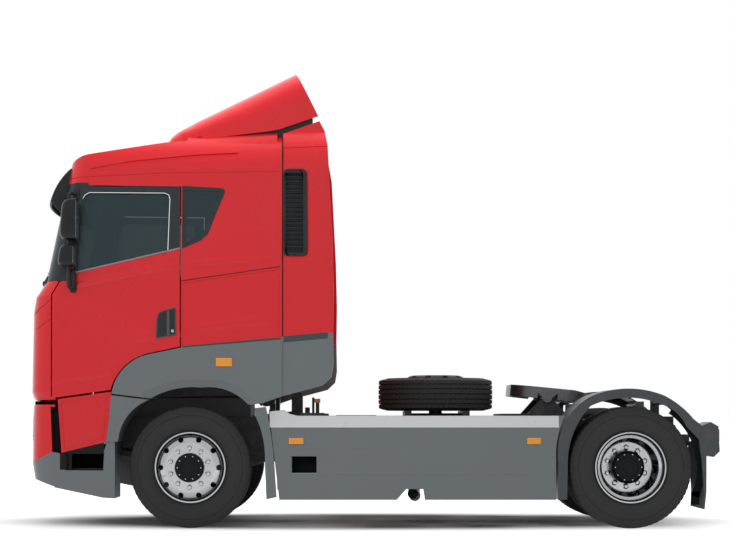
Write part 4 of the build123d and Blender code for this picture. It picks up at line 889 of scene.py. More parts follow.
# --- wheels -------------------------------------------------------------------------------------
@dataclass(frozen=True)
class Tyre:
    """Road tyre about the Y axis, in metres. The profile is mirrored about its middle."""

    radius: float = 0.522
    half_width: float = 0.148
    bead_radius: float = 0.2915
    bead_half: float = 0.104
    groove_places: tuple[float, ...] = (0.0, 0.046, 0.088)
    groove_width: float = 0.011
    groove_depth: float = 0.014
    crown_half: float = 0.122
    pitches: int = 64
    steps: int = 8
    zigzag: float = 0.0018
    wear_ribs: float = 0.0007
    slot_share: float = 0.35
    sipe_depth: float = 0.003
    rib_band: tuple[float, float] = (0.098, 0.082)
    wall_rings: tuple = ((0.485, 0.1362), (0.447, 0.1462), (0.332, 0.1264), (0.307, 0.1138))

    def crown(self) -> np.ndarray:
        """Half of the tread's profile, from the middle outwards, as rows of Y and radius.

        Grooves are steps down from a crown that falls with the square of Y.
        """
        rows = []
        half = self.groove_width / 2
        for place in self.groove_places:
            for shift, deep in ((-half, 0), (-half + 0.0015, 1), (half - 0.0015, 1), (half, 0)):
                if place + shift >= -1e-9:
                    rows.append((place + shift, deep))
        rows += [(self.crown_half - 0.012, 0), (self.crown_half, 0)]
        across, deep = np.array(sorted(rows)).T
        fall = 0.004 * (across / self.crown_half) ** 2
        return np.stack([across, self.radius - fall - deep * self.groove_depth], axis=1)

    def flank(self) -> np.ndarray:
        """Half of the side wall's profile, from shoulder to bead, as rows of Y and radius."""
        wide = self.half_width
        knots = np.array(
            [
                (self.crown_half + 0.006, self.radius - 0.011),
                (wide - 0.012, self.radius - 0.034),
                (wide - 0.006, self.radius - 0.062),
                (wide, self.radius - 0.11),
                (wide - 0.003, self.radius - 0.15),
                (wide - 0.018, self.radius - 0.19),
                (self.bead_half + 0.008, self.bead_radius + 0.018),
                (self.bead_half + 0.003, self.bead_radius + 0.008),
            ]
        )
        return curve_through(knots, 5)

    def surface(self, fine: bool = True) -> Patch:
        """Tread, side walls and beads as one closed surface of revolution.

        The radius falls in the grooves and in slots across the shoulders; Y swings to and fro in
        the grooves, and carries rings and fine ribs on the side walls.

        Args:
            fine: Whether the tread has its slots and ribs, or only its rings and grooves.

        Returns:
            The tyre about the Y axis.
        """
        crown, flank = self.crown(), self.flank()
        half = np.vstack([crown, flank, [(self.bead_half, self.bead_radius)]])
        profile = np.vstack([half[::-1] * [-1, 1], half[1:] if crown[0, 0] < 1e-6 else half])
        across, radius = profile.T
        count = self.pitches * (self.steps if fine else 3)
        turn = np.arange(count)
        y = np.broadcast_to(across, (count, len(across))).copy()
        r = np.broadcast_to(radius, y.shape).copy()
        if fine:
            reach = np.abs(across)
            phase = (turn % self.steps)[:, None]
            swing = self.zigzag * np.where(phase < self.steps / 2, 1.0, -1.0)
            y += swing * ((reach < self.crown_half - 0.02) & (reach > 0))
            shoulder = (reach > self.groove_places[-1] + 0.012) & (radius > self.radius - 0.03)
            r -= ((phase < 2) & shoulder) * self.groove_depth * self.slot_share
            sipe = (phase == self.steps // 2 + 1) & (reach < self.crown_half - 0.01)
            r -= sipe * self.sipe_depth
            deep, shallow = self.rib_band
            ringed = (radius > self.radius - deep) & (radius < self.radius - shallow)
            y += np.sign(across) * ringed * self.wear_ribs * (turn[:, None] % 2)
        angle = turn * 2 * np.pi / count
        points = np.stack([r * np.cos(angle)[:, None], y, r * np.sin(angle)[:, None]], axis=-1)
        return Patch.grid(points, wrap_u=True, wrap_v=True)

    def rings(self) -> Patch:
        """Raised rings on both side walls: circles of small section carried round the axle."""
        wall = []
        bead = np.array([(-0.0022, -0.0016), (0.0, 0.0014), (0.0022, -0.0016)])
        for reach, across in self.wall_rings:
            for side in (-1, 1):
                profile = np.stack([reach + bead[:, 0], side * (across + bead[:, 1])], axis=1)
                wall.append(revolved(profile, 180))
        return Patch.join(wall)


@dataclass(frozen=True)
class WheelTrim:
    """Nuts, hub and valve on a wheel's outer face, about the Y axis with its face towards +Y."""

    face: float
    hub_radius: float
    hub_depth: float
    chamfer: tuple[float, float] = (0.012, 0.012)
    pitch_radius: float = 0.1675
    nut_count: int = 10

    def nuts(self) -> Patch:
        """Hexagonal nuts on their washers, each a hexagonal profile carried along Y, then spun."""
        corners = np.arange(6) * np.pi / 3
        reach = np.array([0.0, 0.029, 0.029, 0.0225, 0.0225, 0.0215, 0.0165, 0.0, 0.0])
        depth = np.array([0.0, 0.0, 0.004, 0.006, 0.010, 0.026, 0.034, 0.038, 0.038])
        x = np.cos(corners)[:, None] * reach + self.pitch_radius
        z = np.sin(corners)[:, None] * reach
        y = np.broadcast_to(depth + self.face, x.shape)
        nut = Patch.grid(np.stack([x, y, z], axis=-1), wrap_u=True)
        stud = tube(
            np.array([(self.pitch_radius, self.face + 0.02 + s, 0.0) for s in (0.0, 0.014, 0.016)]),
            np.array([0.009, 0.009, 0.006]),
        )
        return Patch.join([nut, stud]).spun(self.nut_count, 18.0)

    def hub(self) -> Patch:
        """Hub cap: a stepped dome turned about the axle."""
        wide, deep = self.hub_radius, self.hub_depth
        across, along = self.chamfer
        rows = [
            (0.0, 0.0),
            (wide, 0.0),
            (wide, deep - along),
            (wide - across, deep),
            (0.72 * wide, deep),
            (0.70 * wide, deep + 0.007),
            (0.60 * wide, deep + 0.009),
            (0.56 * wide, deep + 0.002),
            (0.36 * wide, deep + 0.002),
            (0.34 * wide, deep + 0.006),
            (0.0, deep + 0.008),
        ]
        return revolved(np.array(rows) + [0.0, self.face], 72)

    def hub_bolts(self) -> Patch:
        """Small bolts round the hub cap's flange."""
        wide = 0.80 * self.hub_radius
        low = self.face + self.hub_depth - 0.001
        path = np.array([(wide, low + s, 0.0) for s in (0.0, 0.007, 0.0095)])
        return tube(path, np.array([0.0072, 0.0072, 0.005]), 6).spun(10, 0.0)

    def valve(self) -> Patch:
        """Tyre valve, bent out through a hand hole."""
        start = 0.236
        path = [
            (start + 0.012, self.face - 0.06, 0.0),
            (start + 0.006, self.face - 0.02, 0.0),
            (start, self.face + 0.004, 0.0),
            (start - 0.004, self.face + 0.022, 0.0),
        ]
        return tube(curve_through(np.array(path), 4), 0.0042, 8).turned(rotation("Y", 18.0))


@dataclass
class Wheels:
    """All tyres and the trim of all rims."""

    tyre: Tyre = Tyre()
    front_trim: WheelTrim = WheelTrim(face=0.175, hub_radius=0.1245, hub_depth=0.0475)
    rear_trim: WheelTrim = WheelTrim(0.012, 0.1415, 0.158, chamfer=(0.024, 0.028))
    twin_offset: float = 0.175

    def centre(self, node: str) -> np.ndarray:
        """Middle of a node's box.

        Args:
            node: Name of the node.

        Returns:
            The point in metres.
        """
        low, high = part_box(node)
        return (np.array(low) + np.array(high)) / 2

    def place_tyre(
        self, name: str, node: str, body: str, centre: np.ndarray, fine: bool, flat: bool = False
    ) -> None:
        """Puts one tyre where the frame has it.

        Args:
            name: Name of the piece.
            node: Node that it stands for.
            body: Body that it rides on.
            centre: The tyre's middle.
            fine: Whether the tread is fully modelled.
            flat: Whether the tyre lies on its side.
        """
        patch = self.tyre.surface(fine)
        lines = self.tyre.rings()
        if flat:
            patch, lines = (part.turned(rotation("X", 90.0)) for part in (patch, lines))
        build(name, [patch.moved(centre)], TYRE, body, (node,), sharp=32.0)
        build(f"{name}_rings", [lines.moved(centre)], TYRE, body)

    def trim(
        self, name: str, body: str, centre: np.ndarray, side: Side, trim: WheelTrim
    ) -> None:
        """Puts the nuts, hub cap and valve on a rim.

        Args:
            name: First part of the pieces' names.
            body: Body that they ride on.
            centre: Point on the axle from which the face is measured.
            side: Side of the truck.
            trim: Sizes of the trim.
        """
        rows = (
            ("nuts", trim.nuts(), CHROME_NUT),
            ("hub_cap", trim.hub(), HUB),
            ("hub_bolts", trim.hub_bolts(), CHROME_NUT),
            ("valve", trim.valve(), STEEL),
        )
        for label, patch, finish in rows:
            build(f"{name}_{label}", [patch.facing(side).moved(centre)], finish, body)

    def dress(self) -> None:
        """Builds every wheel's tyre and trim, and finishes the rims."""
        for side in Side:
            word = side.word
            node, body = f"front_tyre_{word}", f"{word}_front_wheel"
            front = self.centre(node)
            self.place_tyre(f"{node}_tread", node, body, front, True)
            self.trim(f"front_{word}", body, front, side, self.front_trim)
            node, body = f"rear_tyres_{word}", f"{word}_rear_wheels"
            pair = self.centre(node)
            for label, offset, fine in (
                ("outer", self.twin_offset, True),
                ("inner", -self.twin_offset, False),
            ):
                middle = pair + np.array([0.0, side.value * offset, 0.0])
                self.place_tyre(f"rear_{label}_tyre_{word}", node, body, middle, fine)
            self.trim(f"rear_{word}", body, pair, side, self.rear_trim)
            for rim in (f"front_rim_{word}", f"rear_rims_{word}"):
                self.finish_rim(rim)
        spare = self.centre("spare_tyre")
        self.place_tyre("spare_tyre_tread", "spare_tyre", "chassis", spare, True, flat=True)

    def finish_rim(self, node: str) -> None:
        """Gives a rim its turned alloy, centred on its own axle.

        Args:
            node: Name of the rim's node.
        """
        x, _, z = self.centre(node)
        name = f"rim_alloy_{node}"
        finish = replace(ALLOY, name=name, mottle=0.03, centre=(float(x), float(z)))
        materials = frame["nodes"][node].data.materials
        materials.clear()
        materials.append(finish.material())


# --- cab ----------------------------------------------------------------------------------------
@dataclass(frozen=True)
class CabForm:
    """Outer form of the cab in millimetres: how far out its side and nose lie at each height.

    The plan is a bowed nose, round corners and straight sides, whose sizes change with height.
    """

    heights: tuple[float, ...] = (1094.0, 1165.0, 1860.0, 1982.0, 2118.0, 3068.0, 3460.0)
    noses: tuple[float, ...] = (-1456.0, -1477.0, -1462.0, -1442.0, -1352.0, -1146.0, -1061.0)
    half_widths: tuple[float, ...] = (1245.0, 1245.0, 1245.0, 1245.0, 1245.0, 1213.0, 1200.0)
    bow: float = 5000.0
    corner: float = 210.0

    def nose_at(self, height: "np.ndarray | float") -> np.ndarray:
        """Where the nose's middle lies behind the front axle at a height."""
        return np.interp(height, self.heights, self.noses)

    def half_at(self, height: "np.ndarray | float") -> np.ndarray:
        """Half of the width at a height."""
        return np.interp(height, self.heights, self.half_widths)

    def side(self, behind: np.ndarray, height: np.ndarray, proud: float = 0.0) -> np.ndarray:
        """Distance across of the side's surface: the half width, less the corner's rounding.

        Args:
            behind: Distances behind the front axle.
            height: Heights above the ground.
            proud: How far outside the surface.

        Returns:
            Distances across, all positive.
        """
        half = self.half_at(height)
        reach = self.bow - self.corner
        corner_x = self.nose_at(height) + self.bow - np.sqrt(reach**2 - (half - self.corner) ** 2)
        into = np.clip(corner_x - behind, 0.0, self.corner * 0.999)
        return half - self.corner + np.sqrt(self.corner**2 - into**2) + proud

    def nose(self, across: np.ndarray, height: np.ndarray, proud: float = 0.0) -> np.ndarray:
        """Distance behind the front axle of the nose's surface, bowed about a far centre.

        Args:
            across: Distances across.
            height: Heights above the ground.
            proud: How far outside the surface.

        Returns:
            Distances behind the front axle, all negative.
        """
        dip = np.sqrt(self.bow**2 - np.asarray(across) ** 2)
        return self.nose_at(height) + self.bow - dip - proud

    def plan(
        self, angle: np.ndarray, height: "np.ndarray | float", proud: float
    ) -> tuple[np.ndarray, np.ndarray]:
        """Level section at angles from straight ahead: the bow, then the round corners.

        Args:
            angle: Angles in radians, negative on the left side.
            height: Heights above the ground.
            proud: How far outside the surface.

        Returns:
            Distances behind the front axle, and distances across.
        """
        nose, half = self.nose_at(height), self.half_at(height)
        tangent = np.arcsin((half - self.corner) / (self.bow - self.corner))
        corner_x = nose + self.bow - (self.bow - self.corner) * np.cos(tangent)
        on_bow = np.abs(angle) < tangent
        bow_x = nose + self.bow - (self.bow + proud) * np.cos(angle)
        round_x = corner_x - (self.corner + proud) * np.cos(angle)
        round_y = np.sign(angle) * (half - self.corner) + (self.corner + proud) * np.sin(angle)
        behind = np.where(on_bow, bow_x, round_x)
        return behind, np.where(on_bow, (self.bow + proud) * np.sin(angle), round_y)

    def on_side(self, outline: np.ndarray, proud: float, side: Side = Side.LEFT) -> np.ndarray:
        """Outline in X and Z laid on the side's surface.

        Args:
            outline: Array whose last axis is distance behind and height.
            proud: How far outside the surface.
            side: Side of the truck.

        Returns:
            Points in metres.
        """
        behind, height = outline[..., 0], outline[..., 1]
        across = side.value * self.side(behind, height, proud)
        return DATUM.points(np.stack([behind, across, height], axis=-1))

    def on_nose(self, outline: np.ndarray, proud: float) -> np.ndarray:
        """Outline in Y and Z laid on the nose's surface.

        Args:
            outline: Array whose last axis is distance across and height.
            proud: How far outside the surface.

        Returns:
            Points in metres.
        """
        across, height = outline[..., 0], outline[..., 1]
        return DATUM.points(np.stack([self.nose(across, height, proud), across, height], axis=-1))

    def around(self, height: float, proud: float, behind: float, count: int = 121) -> np.ndarray:
        """Level line from the left side round the nose to the right side.

        Args:
            height: Height above the ground.
            proud: How far outside the surface.
            behind: Where the line starts and ends, behind the front axle.
            count: Points round the nose.

        Returns:
            Rows of points in metres.
        """
        wide = self.half_at(height) + proud
        x, y = self.plan(np.linspace(-np.pi / 2, np.pi / 2, count), height, proud)
        x = np.concatenate([[behind], x, [behind]])
        y = np.concatenate([[-wide], y, [wide]])
        return DATUM.points(np.stack([x, y, np.full_like(x, height)], axis=-1))

    def hoop(self, section: list, behind: float) -> Patch:
        """Section carried along such a line.

        Args:
            section: Closed section: rows of height and distance outside the surface.
            behind: Where it starts and ends, behind the front axle.

        Returns:
            The closed band.
        """
        return capped(np.stack([self.around(*point, behind) for point in section], axis=1))


CAB = CabForm()
BUMPER = CabForm((418.0, 575.0, 1041.0), (-1450.0, -1474.0, -1464.0), (1244.0, 1244.0, 1244.0))
Outline = np.ndarray | Sequence[tuple[float, float]]


def even(outline: Outline, step: float = 12.0, closed: bool = True) -> np.ndarray:
    """Outline divided into nearly equal steps, its corners kept.

    Args:
        outline: Corners in the plane.
        step: Largest step.
        closed: Whether the last corner joins the first.

    Returns:
        Rows of points.
    """
    corners = np.asarray(outline, float)
    if closed:
        corners = np.vstack([corners, corners[:1]])
    spans = []
    for start, end in zip(corners[:-1], corners[1:]):
        count = max(1, int(np.ceil(np.linalg.norm(end - start) / step)))
        share = np.arange(count)[:, None] / count
        spans.append(start + share * (end - start))
    if not closed:
        spans.append(corners[-1:])
    return np.vstack(spans)


def rounded(outline: Outline, radius: float, steps: int = 6) -> np.ndarray:
    """Outline with its corners rounded by quadratic curves.

    Args:
        outline: Corners in the plane.
        radius: How far from each corner the rounding starts.
        steps: Points on each rounding.

    Returns:
        The rounded outline.
    """
    corners = np.array(outline, float)
    before = np.roll(corners, 1, axis=0) - corners
    after = np.roll(corners, -1, axis=0) - corners
    lengths = [np.linalg.norm(edge, axis=1) for edge in (before, after)]
    reach = np.minimum(radius, 0.45 * np.minimum(*lengths))[:, None]
    start = corners + before / lengths[0][:, None] * reach
    end = corners + after / lengths[1][:, None] * reach
    t = np.linspace(0, 1, steps)[None, :, None]
    curve = (1 - t) ** 2 * start[:, None] + 2 * t * (1 - t) * corners[:, None]
    return (curve + t**2 * end[:, None]).reshape(-1, 2)


def about(outline: np.ndarray, centre: np.ndarray, count: int) -> np.ndarray:
    """Star-shaped outline sampled at equal angles about a centre.

    Args:
        outline: Rows of points round the outline.
        centre: Point inside it.
        count: Number of samples.

    Returns:
        Rows of points.
    """
    ring = np.asarray(outline, float) - centre
    angle = np.unwrap(np.arctan2(ring[:, 1], ring[:, 0]))
    if angle[-1] < angle[0]:
        ring, angle = ring[::-1], angle[::-1]
    angle = np.append(angle, angle[0] + 2 * np.pi)
    ring = np.vstack([ring, ring[:1]])
    wanted = angle[0] + np.arange(count) * 2 * np.pi / count
    return np.stack([np.interp(wanted, angle, ring[:, k]) for k in (0, 1)], axis=1) + centre


def grown_outline(outline: np.ndarray, amount: float) -> np.ndarray:
    """Dense outline moved outwards along its own normals.

    Args:
        outline: Rows of points round the outline.
        amount: How far, in the outline's units.

    Returns:
        Rows of points.
    """
    ahead = np.roll(outline, -1, axis=0) - np.roll(outline, 1, axis=0)
    normal = np.stack([ahead[:, 1], -ahead[:, 0]], axis=1)
    normal /= np.linalg.norm(normal, axis=1)[:, None] + 1e-9
    following = np.roll(outline, -1, axis=0)
    area = np.sum(outline[:, 0] * following[:, 1] - following[:, 0] * outline[:, 1])
    return outline + (amount if area > 0 else -amount) * normal


Skin = Callable[[np.ndarray, "np.ndarray | float"], np.ndarray]


def cab_skin(side: Side) -> Skin:
    """Surface of the cab's side, which takes rows of X and Z and a height off it."""
    return lambda flat, proud: CAB.on_side(flat, proud, side)


def nose_skin(form: CabForm) -> Skin:
    """Surface of a bowed nose, which takes rows of Y and Z and a height off it."""
    return lambda flat, proud: form.on_nose(flat, proud)


def flat_skin(side: Side, face: float) -> Skin:
    """Upright plane along the truck, which takes rows of X and Z and a height off it."""

    def place(flat: np.ndarray, proud: "np.ndarray | float") -> np.ndarray:
        """Points on the plane, in metres."""
        across = side.value * (face + proud) * np.ones(flat.shape[:-1])
        return DATUM.points(np.stack([flat[..., 0], across, flat[..., 1]], axis=-1))

    return place


def framed(
    outer: Outline, inner: Outline, skin: Skin, proud: float, deep: float = 2.0, count: int = 220
) -> Patch:
    """Flat frame between two outlines, laid on a surface.

    Args:
        outer: Corners of the outer outline.
        inner: Corners of the inner one.
        skin: Surface that it lies on.
        proud: Height of its face off the surface, in millimetres.
        deep: Depth of its edges below the surface.
        count: Points round the frame.

    Returns:
        The closed frame.
    """
    hole, rim = even(inner, 4.0), even(outer, 4.0)
    centre = hole.mean(axis=0)
    loops = [about(outline, centre, count) for outline in (rim, hole)]
    flat = np.stack([loops[0], loops[0], loops[1], loops[1]])
    height = np.array([-deep, proud, proud, -deep])[:, None] * np.ones(count)
    return Patch.grid(skin(flat, height), wrap_u=True, wrap_v=True)


def plated(
    outline: Outline,
    skin: Skin,
    proud: float,
    deep: float = 2.0,
    crown: float = 0.0,
    count: int = 96,
) -> Patch:
    """Plate laid on a surface: rings shrink to its middle, and may rise to a crown.

    Args:
        outline: Corners of a star-shaped outline.
        skin: Surface that it lies on.
        proud: Height of its edge off the surface, in millimetres.
        deep: Depth of its edges below the surface.
        crown: How much higher its middle is.
        count: Points round the plate.

    Returns:
        The closed plate.
    """
    rim = even(outline, 4.0)
    centre = rim.mean(axis=0)
    ring = about(rim, centre, count) - centre
    shares = np.concatenate([[0.0, 1.0], np.linspace(1.0, 0.0, 9)])
    heights = proud + crown * (1 - shares**2)
    heights[:2] = -deep
    flat = centre + shares[:, None, None] * ring
    return Patch.grid(skin(flat, heights[:, None] * np.ones(count)), wrap_v=True)


def laid(
    path: Outline, profile: Outline, skin: Skin, taper: float = 0.0, step: float = 14.0
) -> Patch:
    """Section carried along a line on a surface, with closed ends.

    Args:
        path: Corners of the line.
        profile: Closed section: rows of distance across the line and height off the surface.
        skin: Surface that it lies on.
        taper: Share of the length over which it fades in and out.
        step: Largest step along the line.

    Returns:
        The closed strip.
    """
    line = even(path, step, closed=False)
    run = np.gradient(line, axis=0)
    normal = np.stack([-run[:, 1], run[:, 0]], axis=1) / np.linalg.norm(run, axis=1)[:, None]
    share = np.linspace(0.0, 1.0, len(line))
    fade = np.ones(len(line))
    if taper:
        fade = np.clip(np.minimum(share, 1 - share) / taper, 0.0, 1.0)
    across, height = np.array(profile, float).T
    flat = line[:, None] + normal[:, None] * across[None, :, None]
    return capped(skin(flat, np.where(height > 0, height * fade[:, None], height)))


def swage(half: float, height: float, steps: int = 11) -> list[tuple[float, float]]:
    """Section of a pressed ridge: height times the square of a cosine, closed below."""
    across = np.linspace(-1.0, 1.0, steps)
    top = height * np.cos(across * np.pi / 2) ** 2 + 0.05
    rows = [(half * a, t) for a, t in zip(across, top)]
    return rows + [(half, -1.5), (-half, -1.5)]


def bar(half: float, height: float, deep: float = 1.5) -> list[tuple[float, float]]:
    """Section of a moulded strip with chamfered edges."""
    inner = max(half - height * 0.5, half * 0.4)
    low = height * 0.5
    top = [(-half, low), (-inner, height), (inner, height), (half, low)]
    return [(-half, -deep), *top, (half, -deep)]


def build_side(side: Side, rows: tuple) -> None:
    """Builds pieces of one side, whose names end in its word.

    Args:
        side: Side of the truck.
        rows: For each piece the start of its name, its patches, finish and body, and where it
            is not the usual one, the angle over which its edges stay sharp.
    """
    for label, patches, finish, body, *sharp in rows:
        patches = patches if isinstance(patches, list) else [patches]
        build(f"{label}_{side.word}", patches, finish, body, (), *sharp)


# --- glazing and pillars ------------------------------------------------------------------------
@dataclass
class Glazed:
    """Black bands, seals and bright lines round the cab's windows. Millimetres."""

    door_pane: tuple = (
        (-958, 2195), (-934, 2668), (-914, 2790), (-882, 2835), (-850, 2856),
        (-215, 2851), (-190, 2842), (-176, 2815), (-190, 2366),
    )
    door_edge: tuple = (
        (-1080, 2152), (-1094, 2124), (-949, 2921), (-81, 2910), (-81, 2389), (-970, 2176),
    )
    quarter_pane: tuple = (
        (-52, 2888), (262, 2874), (280, 2862), (284, 2840), (178, 2590), (150, 2520),
        (90, 2470), (-52, 2406),
    )
    quarter_edge: tuple = (
        (-61, 2924), (278, 2903), (300, 2892), (304, 2868), (190, 2586), (160, 2510),
        (100, 2456), (-61, 2384),
    )
    screen: tuple = ((-1060, 2175), (-1010, 3010), (1010, 3010), (1060, 2175))
    screen_edge: tuple = ((-1076, 2160), (-1024, 3024), (1024, 3024), (1076, 2160))
    bright_line: tuple = (
        (-940, 2690), (-922, 2792), (-888, 2845), (-850, 2866), (-212, 2861), (-176, 2846),
        (-166, 2812), (-182, 2376),
    )
    waist_line: tuple = ((-985, 2181), (-78, 2391))
    cowl_line: tuple = ((-1090.0, 2128.0), (1090.0, 2128.0))
    wiper_pivots: tuple = ((-620.0, 300.0), (60.0, 300.0), (640.0, 60.0))
    blade_half: float = 330.0
    spindle_height: float = 2132.0
    pillar_span: tuple[float, float] = (2112.0, 2950.0)
    screen_span: tuple = ((2175.0, 3010.0), (1074.0, 1024.0))
    door_span: tuple = ((2109.0, 2930.0), (-1117.0, -968.0))
    pillar_rows: int = 30
    pillar_columns: int = 26

    def inset(self, outline: Outline, amount: float) -> np.ndarray:
        """Outline moved inwards along its own normals."""
        return grown_outline(even(outline, 6.0), -amount)

    def pillar(self, side: Side) -> Patch:
        """Black cover of the front pillar, from the windscreen round the corner to the door.

        Rows go up the pillar. Columns turn from the nose's bow through the corner and then run
        along the side to the door's edge.
        """
        height = np.linspace(*self.pillar_span, self.pillar_rows)[:, None]
        (low, high), (low_y, high_y) = self.screen_span
        share = (height - low) / (high - low)
        screen_y = low_y - (low_y - high_y) * share
        door_x = np.interp(height, *self.door_span)
        turn = np.linspace(0.0, 1.0, self.pillar_columns)[None, :]
        first = np.arcsin(screen_y / CAB.bow)
        angle = first + (np.pi / 2 - first) * turn
        layers = []
        for proud in (-2.0, 2.0):
            x, y = CAB.plan(angle, height, proud)
            x = np.concatenate([x, door_x], axis=1)
            y = np.concatenate([y, CAB.half_at(height) + proud], axis=1)
            z = np.broadcast_to(height, x.shape)
            layers.append(np.stack([x, side.value * y, z], axis=-1))
        loop = np.concatenate([layers[1], layers[0][:, ::-1]], axis=1)
        return capped(DATUM.points(loop))

    def wiper(self, pivot: float, reach: float) -> list[Patch]:
        """Wiper at rest: an arm from its spindle to the blade that lies along the screen.

        Args:
            pivot: Distance across of the spindle.
            reach: Distance across from the spindle to the blade's middle.

        Returns:
            Arm, blade and spindle cap.
        """
        middle, half, low = pivot + reach, self.blade_half, self.spindle_height
        arm = np.array([(pivot, low), (pivot + 0.3 * reach, 2175.0), (middle, 2262.0)])
        blade = np.array([(middle - half, 2222.0), (middle, 2262.0), (middle + half, 2302.0)])
        lines = []
        for flat, proud, radius in (
            (arm, (20.0, 26.0, 18.0), (0.011, 0.009, 0.006)),
            (blade, (9.0, 14.0, 9.0), (0.006, 0.009, 0.006)),
        ):
            dense = curve_through(np.column_stack([flat, proud]), 8)
            thick = np.interp(np.linspace(0, 1, len(dense)), (0, 0.5, 1), radius)
            lines.append(tube(CAB.on_nose(dense[:, :2], dense[:, 2]), thick, 10))
        rubber = curve_through(np.column_stack([blade, (2.0, 4.0, 2.0)]), 8)
        lines.append(tube(CAB.on_nose(rubber[:, :2], rubber[:, 2]), 0.0035, 8))
        cap = CAB.on_nose(np.array([[pivot, low]]), 20.0)[0]
        lines.append(cushioned(cap, (0.022, 0.026, 0.026), 3.0))
        return lines

    def dress(self) -> None:
        """Builds the bands, seals, lines, pillars and wipers."""
        pane, quarter = self.door_pane, self.quarter_pane
        for side in Side:
            skin, door = cab_skin(side), f"{side.word}_door"
            band = framed(self.door_edge, self.inset(pane, -5.0), skin, 2.2)
            seal = framed(self.inset(pane, -9.0), self.inset(pane, 3.0), skin, 3.2, 8.0)
            light = framed(self.quarter_edge, self.inset(quarter, 3.0), skin, 2.0)
            frit = framed(self.inset(quarter, 4.0), self.inset(quarter, 30.0), skin, -4.2, 5.2)
            rows = (
                ("door_band", band, BAND, door),
                ("door_seal", seal, RUBBER_SEAL, door),
                ("door_bright_line", laid(self.bright_line, bar(4.0, 3.4), skin), BRIGHT, door),
                ("waist_strip", laid(self.waist_line, bar(6.5, 4.6), skin), WAIST_AND_HIGHLIGHT, door),
                ("quarter_band", light, BAND, "cab"),
                ("quarter_frit", frit, BAND, "cab"),
                ("pillar_cover", self.pillar(side), BAND, "cab"),
            )
            build_side(side, rows)
        nose = nose_skin(CAB)
        surround = framed(self.screen_edge, self.inset(self.screen, 34.0), nose, 2.2, 4.0, 400)
        build("screen_surround", [surround], BAND, "cab")
        build("cowl", [laid(self.cowl_line, bar(34.0, 9.0), nose, step=30.0)], TRIM, "cab")
        arms = [part for pivot, reach in self.wiper_pivots for part in self.wiper(pivot, reach)]
        build("wipers", arms, TRIM, "cab")


# --- mirrors ------------------------------------------------------------------------------------
@dataclass
class Mirror:
    """Pair of mirrors on a door: two rounded housings on a bent post. Millimetres."""

    post_x: float = -1004.0
    post_y: float = 1368.0
    arm_heights: tuple[float, float] = (2062.0, 2850.0)
    heads: tuple = ((-1066.0, -926.0, 2440.0, 2790.0), (-1082.0, -950.0, 2222.0, 2404.0))
    span_y: tuple[float, float] = (1302.0, 1492.0)
    glass_rim: float = 16.0

    def shell(self, head: tuple) -> Patch:
        """Housing: sections across the truck whose front bulges and whose ends taper.

        Each level section is a half ellipse in front of a flat back, scaled by a rounding of the
        height.
        """
        x_low, x_high, z_low, z_high = head
        level = np.linspace(-1.0, 1.0, 29)[:, None]
        swell = (1 - np.abs(level) ** 5) ** 0.32
        turn = np.linspace(-np.pi / 2, np.pi / 2, 25)[None, :]
        back, deep = x_high - 4.0, x_high - x_low - 4.0
        x_front = back - deep * np.cos(turn) ** 0.75 * (0.35 + 0.65 * swell) * (1 - 0.10 * level)
        half = (self.span_y[1] - self.span_y[0]) / 2 - 1.0
        y = half * np.sign(np.sin(turn)) * np.abs(np.sin(turn)) ** 0.6 * (0.55 + 0.45 * swell)
        z = (z_low + z_high) / 2 + (z_high - z_low) / 2 * level * np.ones_like(y)
        centre_y = (self.span_y[0] + self.span_y[1]) / 2
        rings = np.stack([x_front, centre_y + y, z], axis=-1)
        inner = rings[:, ::-1].copy()
        inner[..., 0] = back
        inner[..., 1] = centre_y + (inner[..., 1] - centre_y) * 0.93
        return capped(DATUM.points(np.concatenate([rings, inner[:, 1:-1]], axis=1)))

    def glass(self, head: tuple) -> Patch:
        """Mirror glass set into the housing's back, slightly domed."""
        low, high = self.span_y[0] + self.glass_rim, self.span_y[1] - self.glass_rim
        bottom, top = head[2] + 18, head[3] - 18
        corners = rounded([(low, bottom), (low, top), (high, top), (high, bottom)], 26.0)

        def back(flat: np.ndarray, proud: "np.ndarray | float") -> np.ndarray:
            """Plane across the truck at the housing's back."""
            x = (head[1] - 5.0 + proud) * np.ones(flat.shape[:-1])
            return DATUM.points(np.stack([x, flat[..., 0], flat[..., 1]], axis=-1))

        return plated(corners, back, 2.0, 2.0, 1.6)

    def frame_bars(self) -> list[Patch]:
        """Bent post with its two arms into the door, and their feet."""
        low, high = self.arm_heights
        route = [
            (-980.0, 1243.0, low),
            (-992.0, 1310.0, low + 2),
            (-1002.0, 1352.0, low + 16),
            (self.post_x, self.post_y, low + 60),
            (self.post_x, self.post_y, (low + high) / 2),
            (self.post_x, self.post_y, high - 60),
            (-1002.0, 1352.0, high - 16),
            (-985.0, 1310.0, high - 2),
            (-965.0, 1222.0, high),
        ]
        bars = [tube(DATUM.points(curve_through(np.array(route), 6)), 0.0145, 14)]
        for x, y, z in ((-984.0, 1250.0, low), (-962.0, 1224.0, high)):
            bars.append(cushioned(DATUM.at(x, y, z), (0.030, 0.016, 0.052), 3.2))
        bars.append(cushioned(DATUM.at(-995.0, 1290.0, low + 62.0), (0.040, 0.044, 0.088), 3.0))
        return bars

    def dress(self) -> None:
        """Builds both doors' mirrors in place of the plain ones."""
        for side in Side:
            word, door = side.word, f"{side.word}_door"
            plain = (f"mirrors_{word}",)
            turned = (lambda patch: patch) if side is Side.RIGHT else Patch.mirrored
            shells = [turned(self.shell(head)) for head in self.heads]
            build(f"mirror_housings_{word}", shells, MOULDED, door, plain, sharp=50.0)
            bars = [turned(part) for part in self.frame_bars()]
            build(f"mirror_bars_{word}", bars, TRIM, door, plain)
            panes = [turned(self.glass(head)) for head in self.heads]
            build(f"mirror_glass_{word}", panes, MIRROR, door)


